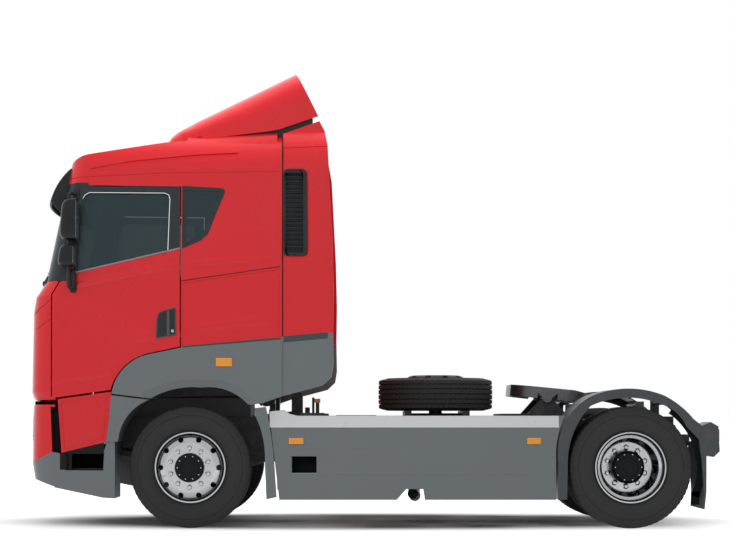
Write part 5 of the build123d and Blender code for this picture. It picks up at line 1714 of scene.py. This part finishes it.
# --- doors and cab sides ------------------------------------------------------------------------
@dataclass
class CabSides:
    """Pressed lines, handle, louvre edge, locker seam and painted shade in the shut lines of the
    cab's sides. Millimetres.
    """

    shoulder_door: tuple = ((-1040, 2062), (-930, 2085), (-408, 2193), (-80, 2249))
    shoulder_cab: tuple = ((-58, 2252), (348, 2291), (752, 2300))
    lower_crease: tuple = ((-1166, 1240), (-655, 1322))
    locker_line: tuple = ((-74, 2110), (772, 2234))
    locker_swell: tuple = ((-44, 1702), (400, 1760), (752, 1782))
    door_swell: tuple = ((-700, 1560), (-300, 1662), (-82, 1698))
    extender_wide: float = 1245.0
    gap_shade_line: tuple = ((795, 1640), (795, 3360))
    louvre_hole: tuple = ((815, 2354), (815, 3030), (970, 3030), (970, 2354))
    louvre_edge: tuple = ((801, 2326), (801, 3062), (1000, 3062), (1006, 2326))
    skirt_shade: tuple = ((-60, 1524), (-60, 1558), (776, 1632), (776, 1578))
    extender_shade: tuple = ((802, 1588), (802, 1642), (1180, 1676), (1180, 1622))
    handle_rim: tuple = (
        (-276, 1628), (-271, 1782), (-255, 1835), (-222, 1852), (-118, 1879), (-118, 1657),
    )
    grip_place: tuple[float, float] = (-178.0, 1245.0)
    grip_heights: tuple[float, float] = (1648.0, 1862.0)
    lock_place: tuple[float, float, float] = (-142.0, 1238.0, 1686.0)
    lock_profile: tuple = (
        (0.0, 0.0), (0.014, 0.0), (0.014, 0.012), (0.010, 0.015), (0.0, 0.015),
    )

    def handle(self, side: Side) -> None:
        """Dark dish, rim, grip and lock of a door's handle.

        Args:
            side: Side of the truck.
        """
        door, skin = f"{side.word}_door", cab_skin(side)
        outline = even(self.handle_rim, 5.0)
        outer, inner = grown_outline(outline, 7.0), grown_outline(outline, -3.0)
        dish = plated(grown_outline(outline, -1.0), skin, 4.6, 4.0, 0.0, 160)
        heights = np.linspace(*self.grip_heights, 12)
        behind, across = self.grip_place
        grip = np.stack([np.full(12, behind), np.full(12, side.value * across), heights], axis=1)
        behind, across, height = self.lock_place
        lock = revolved(np.array(self.lock_profile), 24).facing(side)
        rows = (
            ("handle_rim", framed(outer, inner, skin, 6.0, 6.0), GUARD, door),
            ("handle_dish", dish, TRIM, door),
            ("handle_grip", tube(DATUM.points(grip), 0.0165, 14), GLOSS_TRIM, door),
            ("handle_lock", lock.moved(DATUM.at(behind, side.value * across, height)), STEEL, door),
        )
        build_side(side, rows)

    def louvre(self, side: Side) -> None:
        """Dark strip of painted shade in the gap behind the cab's side, the surround of the louvre,
        and the panel shades.

        Args:
            side: Side of the truck.
        """
        skin = flat_skin(side, self.extender_wide)
        hole = even(self.louvre_hole, 6.0)
        outer = even(rounded(self.louvre_edge, 46.0), 6.0)
        edges = (self.skirt_shade, self.extender_shade)
        shades = [plated(edge, skin, 0.7, 2.0, 0.0, 240) for edge in edges]
        rows = (
            # Painted shade: a dark strip in the gap behind the cab's side.
            ("cab_back_gap_shade", laid(self.gap_shade_line, bar(5.0, 1.6), skin), SEAL_AND_PAINTED_SHADE, "cab"),
            ("louvre_surround", framed(outer, hole, skin, 3.0, 8.0, 260), TRIM, "cab"),
            ("panel_shades", shades, SHADE, "cab"),
        )
        build_side(side, rows)

    def dress(self) -> None:
        """Builds the pressed lines, the handle, the locker seam and the painted shade of the shut
        lines on both sides.
        """
        for side in Side:
            door, skin = f"{side.word}_door", cab_skin(side)
            on_door = [
                laid(self.shoulder_door, swage(34.0, 7.0), skin, 0.12),
                laid(self.lower_crease, swage(16.0, 3.0), skin, 0.08),
                laid(self.door_swell, swage(60.0, 4.0), skin, 0.45),
            ]
            on_cab = [
                laid(self.shoulder_cab, swage(34.0, 7.0), skin, 0.3),
                laid(self.locker_swell, swage(60.0, 5.0), skin, 0.3),
            ]
            rows = (
                ("door_pressings", on_door, CAB_PAINT, door, 60.0),
                ("cab_pressings", on_cab, CAB_PAINT, "cab", 60.0),
                ("locker_seam", laid(self.locker_line, bar(3.2, 0.9), skin), SEAL_AND_PAINTED_SHADE, "cab"),
            )
            build_side(side, rows)
            self.louvre(side)
            self.handle(side)


# --- roof ---------------------------------------------------------------------------------------
@dataclass
class Roof:
    """Smooth roof deflector, the roof's shoulders under it and painted shade in the gap between.
    Millimetres.
    """

    crest: tuple = (
        (-272, 3318), (-258, 3362), (-224, 3416), (-165, 3466), (-90, 3508), (335, 3722),
        (875, 3985),
    )
    hem: tuple = (
        (-272, 3316), (-240, 3319), (-120, 3331), (0, 3343), (279, 3372), (735, 3425),
        (1094, 3546),
    )
    half_plan: tuple = (
        (-272, 610), (-240, 760), (-190, 860), (-90, 950), (50, 1010), (335, 1030),
        (700, 1040), (1100, 1040),
    )
    shoulder_rows: tuple = (
        (1128.0, 3268.0, 0.0), (1096.0, 3302.0, 0.45), (1068.0, 3326.0, 0.85),
        (1046.0, 3342.0, 1.0), (1020.0, 3357.0, 0.95), (985.0, 3372.0, 0.7),
        (930.0, 3380.0, 0.0), (930.0, 3350.0, 0.0), (1020.0, 3310.0, 0.0),
        (1110.0, 3262.0, 0.0),
    )
    shoulder_lift: float = 46.0
    gap_faces: tuple[float, float] = (1012.0, 998.0)
    squareness: float = 0.465
    sheet: float = 16.0
    stations: int = 60
    turns: int = 61

    def arch(self, inset: float) -> np.ndarray:
        """Rows of points over the deflector: stations run back, turns run from hem to hem.

        Args:
            inset: How far inside the outer surface.

        Returns:
            Array of stations, turns and coordinates, in metres.
        """
        run = np.linspace(0.0, 1.0, self.stations)[:, None, None] ** 1.4
        lines = []
        for line in (self.crest, self.hem):
            rows = np.array(line, float)
            share = np.linspace(0.0, 1.0, len(rows))
            places = [np.interp(run[:, 0, 0], share, rows[:, k]) for k in (0, 1)]
            lines.append(np.stack(places, axis=-1))
        crest, hem = lines[0][:, None], lines[1][:, None]
        turn = np.linspace(-np.pi / 2, np.pi / 2, self.turns)[None, :, None]
        rise = np.abs(np.cos(turn)) ** self.squareness
        rise[:, [0, -1]] = 0.0
        side = hem + (crest - hem) * rise
        plan = np.array(self.half_plan, float)
        half = np.interp(side[..., 0], plan[:, 0], plan[:, 1]) - inset
        across = half * (np.sign(np.sin(turn)) * np.abs(np.sin(turn)) ** self.squareness)[..., 0]
        height = side[..., 1] - inset * rise[..., 0]
        behind = side[..., 0] + inset * (rise[..., 0] > 0) * (1 - run[..., 0])
        return DATUM.points(np.stack([behind, across, height], axis=-1))

    def shoulder(self, side: Side) -> Patch:
        """Raised edge of the roof, which climbs to the back under the deflector.

        Args:
            side: Side of the truck.
        """
        behind = np.linspace(-30.0, 742.0, 30)[:, None]
        lift = self.shoulder_lift * np.clip((behind + 20.0) / 756.0, 0.0, 1.0)
        across, base, share = np.array(self.shoulder_rows).T
        height = base + lift * share
        flat = [np.broadcast_to(row, height.shape) for row in (behind, across)]
        return capped(DATUM.points(np.stack([flat[0], side.value * flat[1], height], axis=-1)))

    def gap(self, side: Side) -> Patch:
        """Dark strip of painted shade that closes the gap between the deflector's hem and the roof.

        Args:
            side: Side of the truck.
        """
        behind = np.linspace(60.0, 1046.0, 40)
        hem = np.array(self.hem, float)
        top = np.interp(behind, hem[:, 0], hem[:, 1]) + 26.0
        low = np.minimum(top - 90.0, 3345.0 + 0.35 * (behind - 60.0))
        outer, inner = self.gap_faces
        rings = []
        for across, height in ((outer, top), (outer, low), (inner, low), (inner, top)):
            level = np.full_like(behind, side.value * across)
            rings.append(np.stack([behind, level, height], axis=-1))
        return capped(DATUM.points(np.stack(rings, axis=1)))

    def dress(self) -> None:
        """Builds the deflector in place of the plain one, with what lies under it."""
        outer, inner = self.arch(0.0), self.arch(self.sheet)
        inner[0], inner[:, 0], inner[:, -1] = outer[0], outer[:, 0], outer[:, -1]
        inner[:, 0, 1] += self.sheet * MM
        inner[:, -1, 1] -= self.sheet * MM
        strips = [np.stack([outer[-1], inner[-1]]), np.stack([outer[0], inner[0]])]
        strips += [np.stack([outer[:, k], inner[:, k]]) for k in (0, -1)]
        patches = [Patch.grid(points) for points in (outer, inner, *strips)]
        build("roof_deflector_skin", patches, CAB_PAINT, "cab", ("roof_deflector",), sharp=50.0)
        for side in Side:
            rows = (
                ("roof_shoulder", self.shoulder(side), CAB_PAINT, "cab", 60.0),
                # The gap strip is painted shade, dark where the hem and roof meet.
                ("deflector_gap", self.gap(side), TRIM, "cab"),
            )
            build_side(side, rows)


# --- nose ---------------------------------------------------------------------------------------
def oblong(half: float, low: float, high: float, radius: float) -> np.ndarray:
    """Rounded upright rectangle about the truck's middle, as rows of Y and Z."""
    return rounded([(-half, low), (-half, high), (half, high), (half, low)], radius)


@dataclass
class Nose:
    """Painted shade in the gaps under the cab, lamp surrounds and grille frame. Millimetres."""

    gap_shade_spans: tuple = ((-1090.0, -615.0), (-465.0, 465.0), (615.0, 1090.0))
    gap_shade_section: tuple = ((-28.0, -54.0), (-28.0, -48.0), (24.0, -48.0), (24.0, -54.0))
    gap_shade_height: float = 1062.0
    boards: tuple = (
        ((-1335, -1186), (1088, 1094), (1034, 1090)),
        ((-1186, -1092), (1186, 1192), (662, 1094)),
    )
    lamp_corners: tuple = ((690.0, 770.0), (690.0, 950.0), (1060.0, 950.0), (1060.0, 770.0))
    lamp_edge: tuple = ((668.0, 748.0), (668.0, 972.0), (1082.0, 972.0), (1082.0, 748.0))
    projectors: tuple = ((785.0, 62.0), (948.0, 74.0))
    projector_height: float = 860.0
    lens_share: float = 0.84
    cap_section: tuple = (
        (1040.0, -30.0), (1040.0, -1.0), (1050.0, 0.5), (1057.0, -3.0), (1061.0, -12.0),
        (1061.0, -30.0),
    )
    hem_section: tuple = (
        (1127.0, -24.0), (1127.0, -0.6), (1104.0, -3.0), (1098.0, -9.0), (1098.0, -24.0),
    )

    def lamp(self, side: Side) -> None:
        """Surround, rings and domed lenses of a headlamp.

        Args:
            side: Side of the truck.
        """
        skin = nose_skin(BUMPER)
        hole = rounded([(side.value * y, z) for y, z in self.lamp_corners], 24.0)
        edge = rounded(self.lamp_edge, 40.0) * [side.value, 1.0]
        turn = np.linspace(0.0, 2 * np.pi, 40, endpoint=False)
        rings, lenses = [], []
        for across, size in self.projectors:
            middle = side.value * across
            circles = []
            for radius in (size, self.lens_share * size):
                height = self.projector_height + radius * np.sin(turn)
                circles.append(np.stack([middle + radius * np.cos(turn), height], axis=1))
            rings.append(framed(*circles, skin, 2.6, 6.0, 80))
            lenses.append(plated(circles[1], skin, -2.0, 8.0, 4.0, 60))
        rows = (
            ("lamp_surround", framed(edge, hole, skin, 3.0, 10.0), GLOSS_TRIM, "chassis"),
            ("lamp_rings", rings, BRIGHT, "chassis"),
            ("lamp_lenses", lenses, CLEAR, "chassis", 60.0),
        )
        build_side(side, rows)

    def dress(self) -> None:
        """Builds the painted shade in the gaps, the surrounds and the grille frame."""
        skin, low_skin = nose_skin(CAB), nose_skin(BUMPER)
        spans = []
        for ends in self.gap_shade_spans:
            line = [(across, self.gap_shade_height) for across in ends]
            spans.append(laid(line, self.gap_shade_section, skin, step=30.0))
        for side in Side:
            for behind, across, height in self.boards:
                rows = tuple(sorted(side.value * y for y in across))
                spans.append(prism(behind, rows, height, 0.001))
            self.lamp(side)
        # Painted shade: dark strips and boxes in the gaps under the cab and at its lower corners.
        build("gap_boards", spans, PAINTED_SHADE, "chassis")
        cap = BUMPER.hoop(self.cap_section, -1186.0)
        build("bumper_cap", [cap], CAB_PAINT, "chassis", sharp=60.0)
        hem = CAB.hoop(self.hem_section, -1180.0)
        build("nose_hem", [hem], CAB_PAINT, "cab", sharp=60.0)
        edge, hole = oblong(722.0, 1193.0, 1812.0, 40.0), oblong(700.0, 1215.0, 1790.0, 26.0)
        build("grille_frame", [framed(edge, hole, skin, 0.4, 8.0, 320)], GLOSS_TRIM, "cab")
        edge, hole = oblong(580.0, 622.0, 778.0, 24.0), oblong(560.0, 640.0, 760.0, 14.0)
        build("intake_frame", [framed(edge, hole, low_skin, 3.0, 8.0, 320)], TRIM, "chassis")


# --- chassis sides ------------------------------------------------------------------------------
@dataclass
class Flanks:
    """What dresses the steps, side fairings, rear guards, rails and tail. Millimetres."""

    wide: float = 1245.0
    bevel_start: float = 684.0
    bevel_low: float = 863.0
    bevel_slope: float = 45.0 / 157.0
    top_line: tuple = ((679, 1001), (807, 1012), (856, 979), (921, 964), (3145, 964))
    rear_axle: tuple[float, float] = (3760.0, 522.0)
    guard_inner: float = 566.0
    guard_faces: tuple[float, float] = (1205.0, 1199.0)
    rail_face: float = 425.2
    rail_span: tuple[float, float] = (1180.0, 4180.0)
    rail_bolts: int = 30
    bolt_heights: tuple[float, float] = (712.0, 928.0)
    bolt_profile: tuple = (
        (0.0, 0.0), (0.014, 0.0), (0.014, 0.003), (0.010, 0.004), (0.010, 0.011), (0.0, 0.011),
    )
    guard_reach: tuple = ((-24.0, 640.0), (-2.0, 622.0), (30.0, 628.0), (55.0, 640.0))
    liners: tuple = (
        ((874, 1082), (1099.5, 1102.5), (478, 618)),
        ((-1045, -735), (926, 931), (508, 640)),
    )
    step_edges: tuple = (
        ((-1098.0, 648.0), (-722.0, 738.0), (-730.0, 640.0), (-1098.0, 640.0)),
        ((-1098.0, 506.0), (-1098.0, 644.0), (-1046.0, 644.0), (-1046.0, 506.0)),
    )
    tail_lenses: tuple = (
        ("red", RED_LENS, (1110, 1228)),
        ("amber", AMBER, (990, 1104)),
        ("clear", CLEAR, (884, 984)),
    )

    def bevel(self, side: Side) -> Patch:
        """Pale face laid on the fairing's sloping top: a painted highlight standing in for the
        sky's reflection.

        Args:
            side: Side of the truck.
        """
        line = np.array(self.top_line, float)
        steps = np.linspace(self.bevel_start, line[-1, 0], 60)
        behind = np.unique(np.concatenate([line[:, 0], steps]))
        behind = behind[behind >= self.bevel_start]
        top = np.interp(behind, line[:, 0], line[:, 1])
        low = np.full_like(top, self.bevel_low + 2.0)
        rows = []
        for height, proud in ((low, 1.4), (top, 1.4), (top, -2.0), (low, -2.0)):
            across = self.wide - (height - self.bevel_low) * self.bevel_slope + proud
            rows.append(np.stack([behind, side.value * across, height], axis=-1))
        return capped(DATUM.points(np.stack(rows, axis=1)))

    def guard_board(self, side: Side) -> Patch:
        """Dark sector about the axle between the rear wheel and the guard: painted shade.

        Args:
            side: Side of the truck.
        """
        angle = np.radians(np.linspace(55.0, -24.0, 40))
        outer = np.interp(np.degrees(angle), *np.array(self.guard_reach).T)
        inner = np.full_like(outer, self.guard_inner)
        near, far = self.guard_faces
        rings = []
        for radius, across in ((outer, near), (inner, near), (inner, far), (outer, far)):
            x = self.rear_axle[0] + radius * np.cos(angle)
            z = self.rear_axle[1] + radius * np.sin(angle)
            rings.append(np.stack([x, np.full_like(x, side.value * across), z], axis=-1))
        return capped(DATUM.points(np.stack(rings, axis=1)))

    def bolts(self, side: Side) -> Patch:
        """Rows of flanged bolts along a rail.

        Args:
            side: Side of the truck.
        """
        head = revolved(np.array(self.bolt_profile), 6).facing(side)
        behind = np.linspace(*self.rail_span, self.rail_bolts)
        face = side.value * self.rail_face
        places = [DATUM.at(x, face, z) for z in self.bolt_heights for x in behind]
        return head.copies(np.array(places))

    def boxed(self, side: Side, boxes: Sequence[tuple]) -> list[Patch]:
        """Boxes given by their spans, on one side.

        Args:
            side: Side of the truck.
            boxes: Spans behind, across and up.
        """
        return [prism(x, tuple(sorted(side.value * v for v in y)), z, 0.002) for x, y, z in boxes]

    def dress(self) -> None:
        """Builds everything on both sides."""
        for side in Side:
            skin = flat_skin(side, self.wide)
            creases = [
                laid([(700.0, 690.0), (1960.0, 690.0)], swage(11.0, 3.2), skin, 0.5),
                laid([(780.0, 470.0), (3060.0, 470.0)], swage(9.0, 2.4), skin, 0.1),
            ]
            # The lip strip is a painted highlight: pale grey along the lower edge of the fairing's
            # step hole.
            lip = laid([(868.0, 472.0), (1088.0, 472.0)], bar(3.5, 3.0), skin)
            # The step plates are painted shade: dark plates over the margin round the bumper's step
            # hole.
            surround = [plated(edge, skin, 1.0) for edge in self.step_edges]
            pads = [((940, 1150), (1110, 1206), (966.5, 990))]
            pads += [((x, x + 40), (960, 1228), (500.5, 504.5)) for x in range(-1040, -790, 62)]
            flap = self.boxed(side, [((4276, 4346), (1199, 1205), (206, 318))])
            rows = (
                # Painted highlight: the pale face on the fairing's sloping top.
                ("fairing_bevel", self.bevel(side), BEVEL_HIGHLIGHT, "chassis", 60.0),
                ("fairing_creases", creases, GREY_PAINT, "chassis", 60.0),
                ("step_hole_lip_highlight", lip, WAIST_AND_HIGHLIGHT, "chassis"),
                # Painted shade: dark boxes inside the step holes.
                ("step_liners", self.boxed(side, self.liners), PAINTED_SHADE, "chassis"),
                ("step_recess_shade", surround, SEAL_AND_PAINTED_SHADE, "chassis"),
                ("step_pads", self.boxed(side, pads), TRIM, "chassis"),
                # Painted shade: the dark sector between the rear wheel and its guard.
                ("guard_board", [self.guard_board(side), *flap], PAINTED_SHADE, "chassis"),
                ("rail_bolts", self.bolts(side), STEEL, "chassis"),
            )
            build_side(side, rows)
            for label, finish, across in self.tail_lenses:
                lens = self.boxed(side, [((4494, 4512.4), across, (700, 850))])
                build(f"tail_lens_{label}_{side.word}", lens, finish, "chassis")
        self.rear_fittings()

    def rear_fittings(self) -> None:
        """Builds the posts behind the cab, their marker and a dark disc of painted shade in the
        exhaust's mouth.
        """
        blocks = (((850, 948), (560, 650), (962, 1168)), ((968, 1010), (575, 640), (962, 1040)))
        posts = self.boxed(Side.LEFT, blocks)
        for behind, top, radius in ((1040.0, 1128.0, 0.011), (1078.0, 1090.0, 0.016)):
            line = [(behind, -600.0, height) for height in (962.0, top)]
            posts.append(tube(DATUM.points(line), radius, 12))
        build("cab_rear_posts", posts, CHASSIS, "chassis")
        # Painted shade: a dark disc in the exhaust's mouth.
        mouth = revolved(np.array([(0.0, 0.0), (0.046, 0.0), (0.046, 0.012), (0.0, 0.012)]), 40)
        mouth = mouth.facing(Side.LEFT).moved(DATUM.at(1906.0, -1150.0, 300.0))
        build("exhaust_mouth", [mouth], PAINTED_SHADE, "chassis")
        marker = self.boxed(Side.LEFT, [((1052, 1104), (612, 640), (1080, 1116))])
        build("post_marker", marker, AMBER, "chassis")


# --- cabin --------------------------------------------------------------------------------------
@dataclass
class Cabin:
    """Stuffed seats and bunk, with piped seams. Millimetres."""

    seat_across: float = 600.0

    def cushion(self, centre: tuple, half: tuple, tilt: float = 0.0, power: float = 4.5) -> Patch:
        """Crowned cushion with piping round its middle.

        Args:
            centre: Its middle.
            half: Half sizes, in metres.
            tilt: Turn about the axis across the truck, in degrees.
            power: Squareness of its outline.
        """
        body = cushioned(np.zeros(3), half, power)
        turn = np.linspace(0.0, 2 * np.pi, 72, endpoint=False)
        ring = np.stack([np.cos(turn), np.sin(turn)], axis=1)
        ring /= (np.abs(ring) ** power).sum(axis=1, keepdims=True) ** (1 / power)
        thin = int(np.argmin(half))
        path = np.zeros((73, 3))
        wide = [k for k in range(3) if k != thin]
        for k, axis in enumerate(wide):
            path[:72, axis] = ring[:, k] * half[axis] * 0.992
        path[72] = path[0]
        piping = tube(path, 0.0045, 8)
        return Patch.join([body, piping]).turned(rotation("Y", tilt)).moved(DATUM.at(*centre))

    def dress(self) -> None:
        """Builds the cushions in place of the plain soft solids."""
        for side in Side:
            word, across = side.word, side.value * self.seat_across
            parts = [
                self.cushion((-95.0, across, 1812.0), (0.235, 0.250, 0.072), -4.0),
                self.cushion((178.0, across, 2112.0), (0.070, 0.245, 0.285), 12.0),
                self.cushion((243.0, across, 2470.0), (0.050, 0.150, 0.110), 10.0),
            ]
            build(f"seat_base_{word}", self.base(across), INTERIOR, "cab", ("seats",))
            for label, part in zip(("squab", "back", "headrest"), parts):
                self.stuffed(f"seat_{label}_{word}", part, "seats")
        base = prism((334.0, 716.0), (-1076.0, 1076.0), (1297.0, 1735.0), 0.012)
        build("bunk_base", [base], INTERIOR, "cab", ("bunk",))
        mattress = self.cushion((524.0, 0.0, 1818.0), (0.192, 1.070, 0.080), 0.0, 6.0)
        self.stuffed("bunk_mattress", mattress, "bunk")

    def stuffed(self, name: str, part: Patch, node: str) -> None:
        """Builds a cushion as a padded piece.

        Args:
            name: Name of the piece.
            part: Its surface.
            node: Node that it stands for.
        """
        piece = build(name, [part], SEAT_CLOTH, "cab", (node,), sharp=70.0)

    def base(self, across: float) -> list[Patch]:
        """Pedestal and slides of a seat.

        Args:
            across: The seat's middle.
        """
        pedestal = prism((-230.0, 90.0), (across - 150.0, across + 150.0), (1297.0, 1700.0), 0.02)
        pan = prism((-300.0, 130.0), (across - 225.0, across + 225.0), (1700.0, 1742.0), 0.012)
        return [pedestal, pan]


# --- floor, lamps and camera --------------------------------------------------------------------
@dataclass(frozen=True)
class Lamp:
    """Soft rectangular lamp. Lengths in metres, power in watts."""

    name: str
    place: tuple[float, float, float]
    aim: tuple[float, float, float]
    size: tuple[float, float]
    power: float

    def hang(self) -> None:
        """Puts the lamp on the stage, facing its aim."""
        data = bpy.data.lights.new(self.name, "AREA")
        data.shape = "RECTANGLE"
        data.size, data.size_y = self.size
        data.energy = self.power
        lamp = bpy.data.objects.new(self.name, data)
        lamp.location = self.place
        away = Vector(self.place) - Vector(self.aim)
        lamp.rotation_euler = away.to_track_quat("Z", "Y").to_euler()
        lamp.visible_glossy = False
        bpy.context.scene.collection.objects.link(lamp)


@dataclass
class Studio:
    """Pale floor, soft lamps and the camera. Lengths in metres."""

    camera_place: tuple[float, float, float] = (-0.082, -16.75, 0.943)
    lens: float = 89.93
    shift: tuple[float, float] = (0.0096, 0.197)
    floor_half: float = 60.0
    floor_white: float = 0.4
    fill: float = 0.35
    lamps: tuple[Lamp, ...] = (
        Lamp("above", (0.0, 0.5, 9.0), (0.0, 0.0, 0.0), (10.0, 5.0), 620.0),
        Lamp("near_side", (-3.0, -12.0, 6.0), (0.0, 0.0, 1.6), (8.0, 4.0), 520.0),
        Lamp("far_side", (3.0, 11.0, 6.0), (0.0, 0.0, 1.6), (8.0, 4.0), 520.0),
        Lamp("nose_side", (-11.0, -3.0, 5.0), (0.0, 0.0, 1.6), (5.0, 4.0), 150.0),
    )

    def camera(self) -> None:
        """Level camera square to the truck's side."""
        data = bpy.data.cameras.new("camera")
        data.lens = self.lens
        data.sensor_width = 36.0
        data.shift_x, data.shift_y = self.shift
        data.clip_end = 400.0
        eye = bpy.data.objects.new("camera", data)
        eye.location = self.camera_place
        eye.rotation_euler = (math.radians(90.0), 0.0, 0.0)
        bpy.context.scene.collection.objects.link(eye)
        bpy.context.scene.camera = eye

    def seen(self, tree: bpy.types.NodeTree) -> object:
        """Socket that is 1 for what the camera, gloss and glass see.

        Args:
            tree: Tree to add it to.

        Returns:
            A value socket.
        """
        path = tree.nodes.new("ShaderNodeLightPath")
        total = path.outputs["Is Camera Ray"]
        for ray in ("Is Glossy Ray", "Is Transmission Ray"):
            node = tree.nodes.new("ShaderNodeMath")
            node.operation = "MAXIMUM"
            tree.links.new(total, node.inputs[0])
            tree.links.new(path.outputs[ray], node.inputs[1])
            total = node.outputs[0]
        return total

    def floor(self) -> None:
        """Floor that keeps the truck's shadow, with a painted shadow round it: white far off,
        darker near and under the truck.
        """
        half = self.floor_half
        corners = [(-half, -half, 0), (half, -half, 0), (half, half, 0), (-half, half, 0)]
        mesh = bpy.data.meshes.new("floor")
        mesh.from_pydata(corners, [], [(0, 1, 2, 3)])
        floor = bpy.data.objects.new("floor", mesh)
        bpy.context.scene.collection.objects.link(floor)
        graph = Graph("floor_white")
        graph.feed(graph.shader, Base_Color=(*[self.floor_white] * 3, 1.0), Roughness=0.9)
        graph.feed(graph.shader, Emission_Color=(1.0, 1.0, 1.0, 1.0))
        # Painted shadow: the camera-seen glow is nil near and under the truck and rises with
        # distance, so the floor round the truck is darker than its lamps alone make it.
        reach = graph.add("ShaderNodeVectorMath", operation="LENGTH")
        graph.feed(reach, Vector=graph.scaled((0.42, 1.0, 0.0)))
        away = reach.outputs["Value"]
        near = graph.span(away, 0.0, 0.72, start=0.95, end=1.6)
        glow = graph.math("ADD", near, graph.span(away, 0.0, 0.28, start=1.5, end=3.4))
        strength = graph.math("MULTIPLY", self.seen(graph.tree), glow)
        graph.feed(graph.shader, Emission_Strength=strength)
        mesh.materials.append(graph.material)

    def world(self) -> None:
        """World that is white where it is seen, and gives a soft fill."""
        world = bpy.data.worlds.new("studio")
        bpy.context.scene.world = world
        world.use_nodes = True
        tree = world.node_tree
        tree.nodes.clear()
        output = tree.nodes.new("ShaderNodeOutputWorld")
        light = tree.nodes.new("ShaderNodeBackground")
        light.inputs["Color"].default_value = (1.0, 1.0, 1.0, 1.0)
        strength = tree.nodes.new("ShaderNodeMath")
        strength.operation = "MULTIPLY_ADD"
        tree.links.new(self.seen(tree), strength.inputs[0])
        strength.inputs[1].default_value = 1.0 - self.fill
        strength.inputs[2].default_value = self.fill
        tree.links.new(strength.outputs[0], light.inputs["Strength"])
        tree.links.new(light.outputs[0], output.inputs["Surface"])

    def set_up(self) -> None:
        """Makes the stage."""
        self.camera()
        self.floor()
        self.world()
        for lamp in self.lamps:
            lamp.hang()
        bpy.context.scene.view_settings.view_transform = "Standard"


def main() -> None:
    """Builds the stage, dresses the nodes and adds every sub-assembly."""
    logging.basicConfig(level=logging.INFO, format="%(message)s")
    Studio().set_up()
    dress_nodes()
    for assembly in (Wheels(), Glazed(), Mirror(), CabSides(), Roof(), Nose(), Flanks(), Cabin()):
        assembly.dress()
        LOG.info("built %s", type(assembly).__name__)


if __name__ == "__main__":
    main()
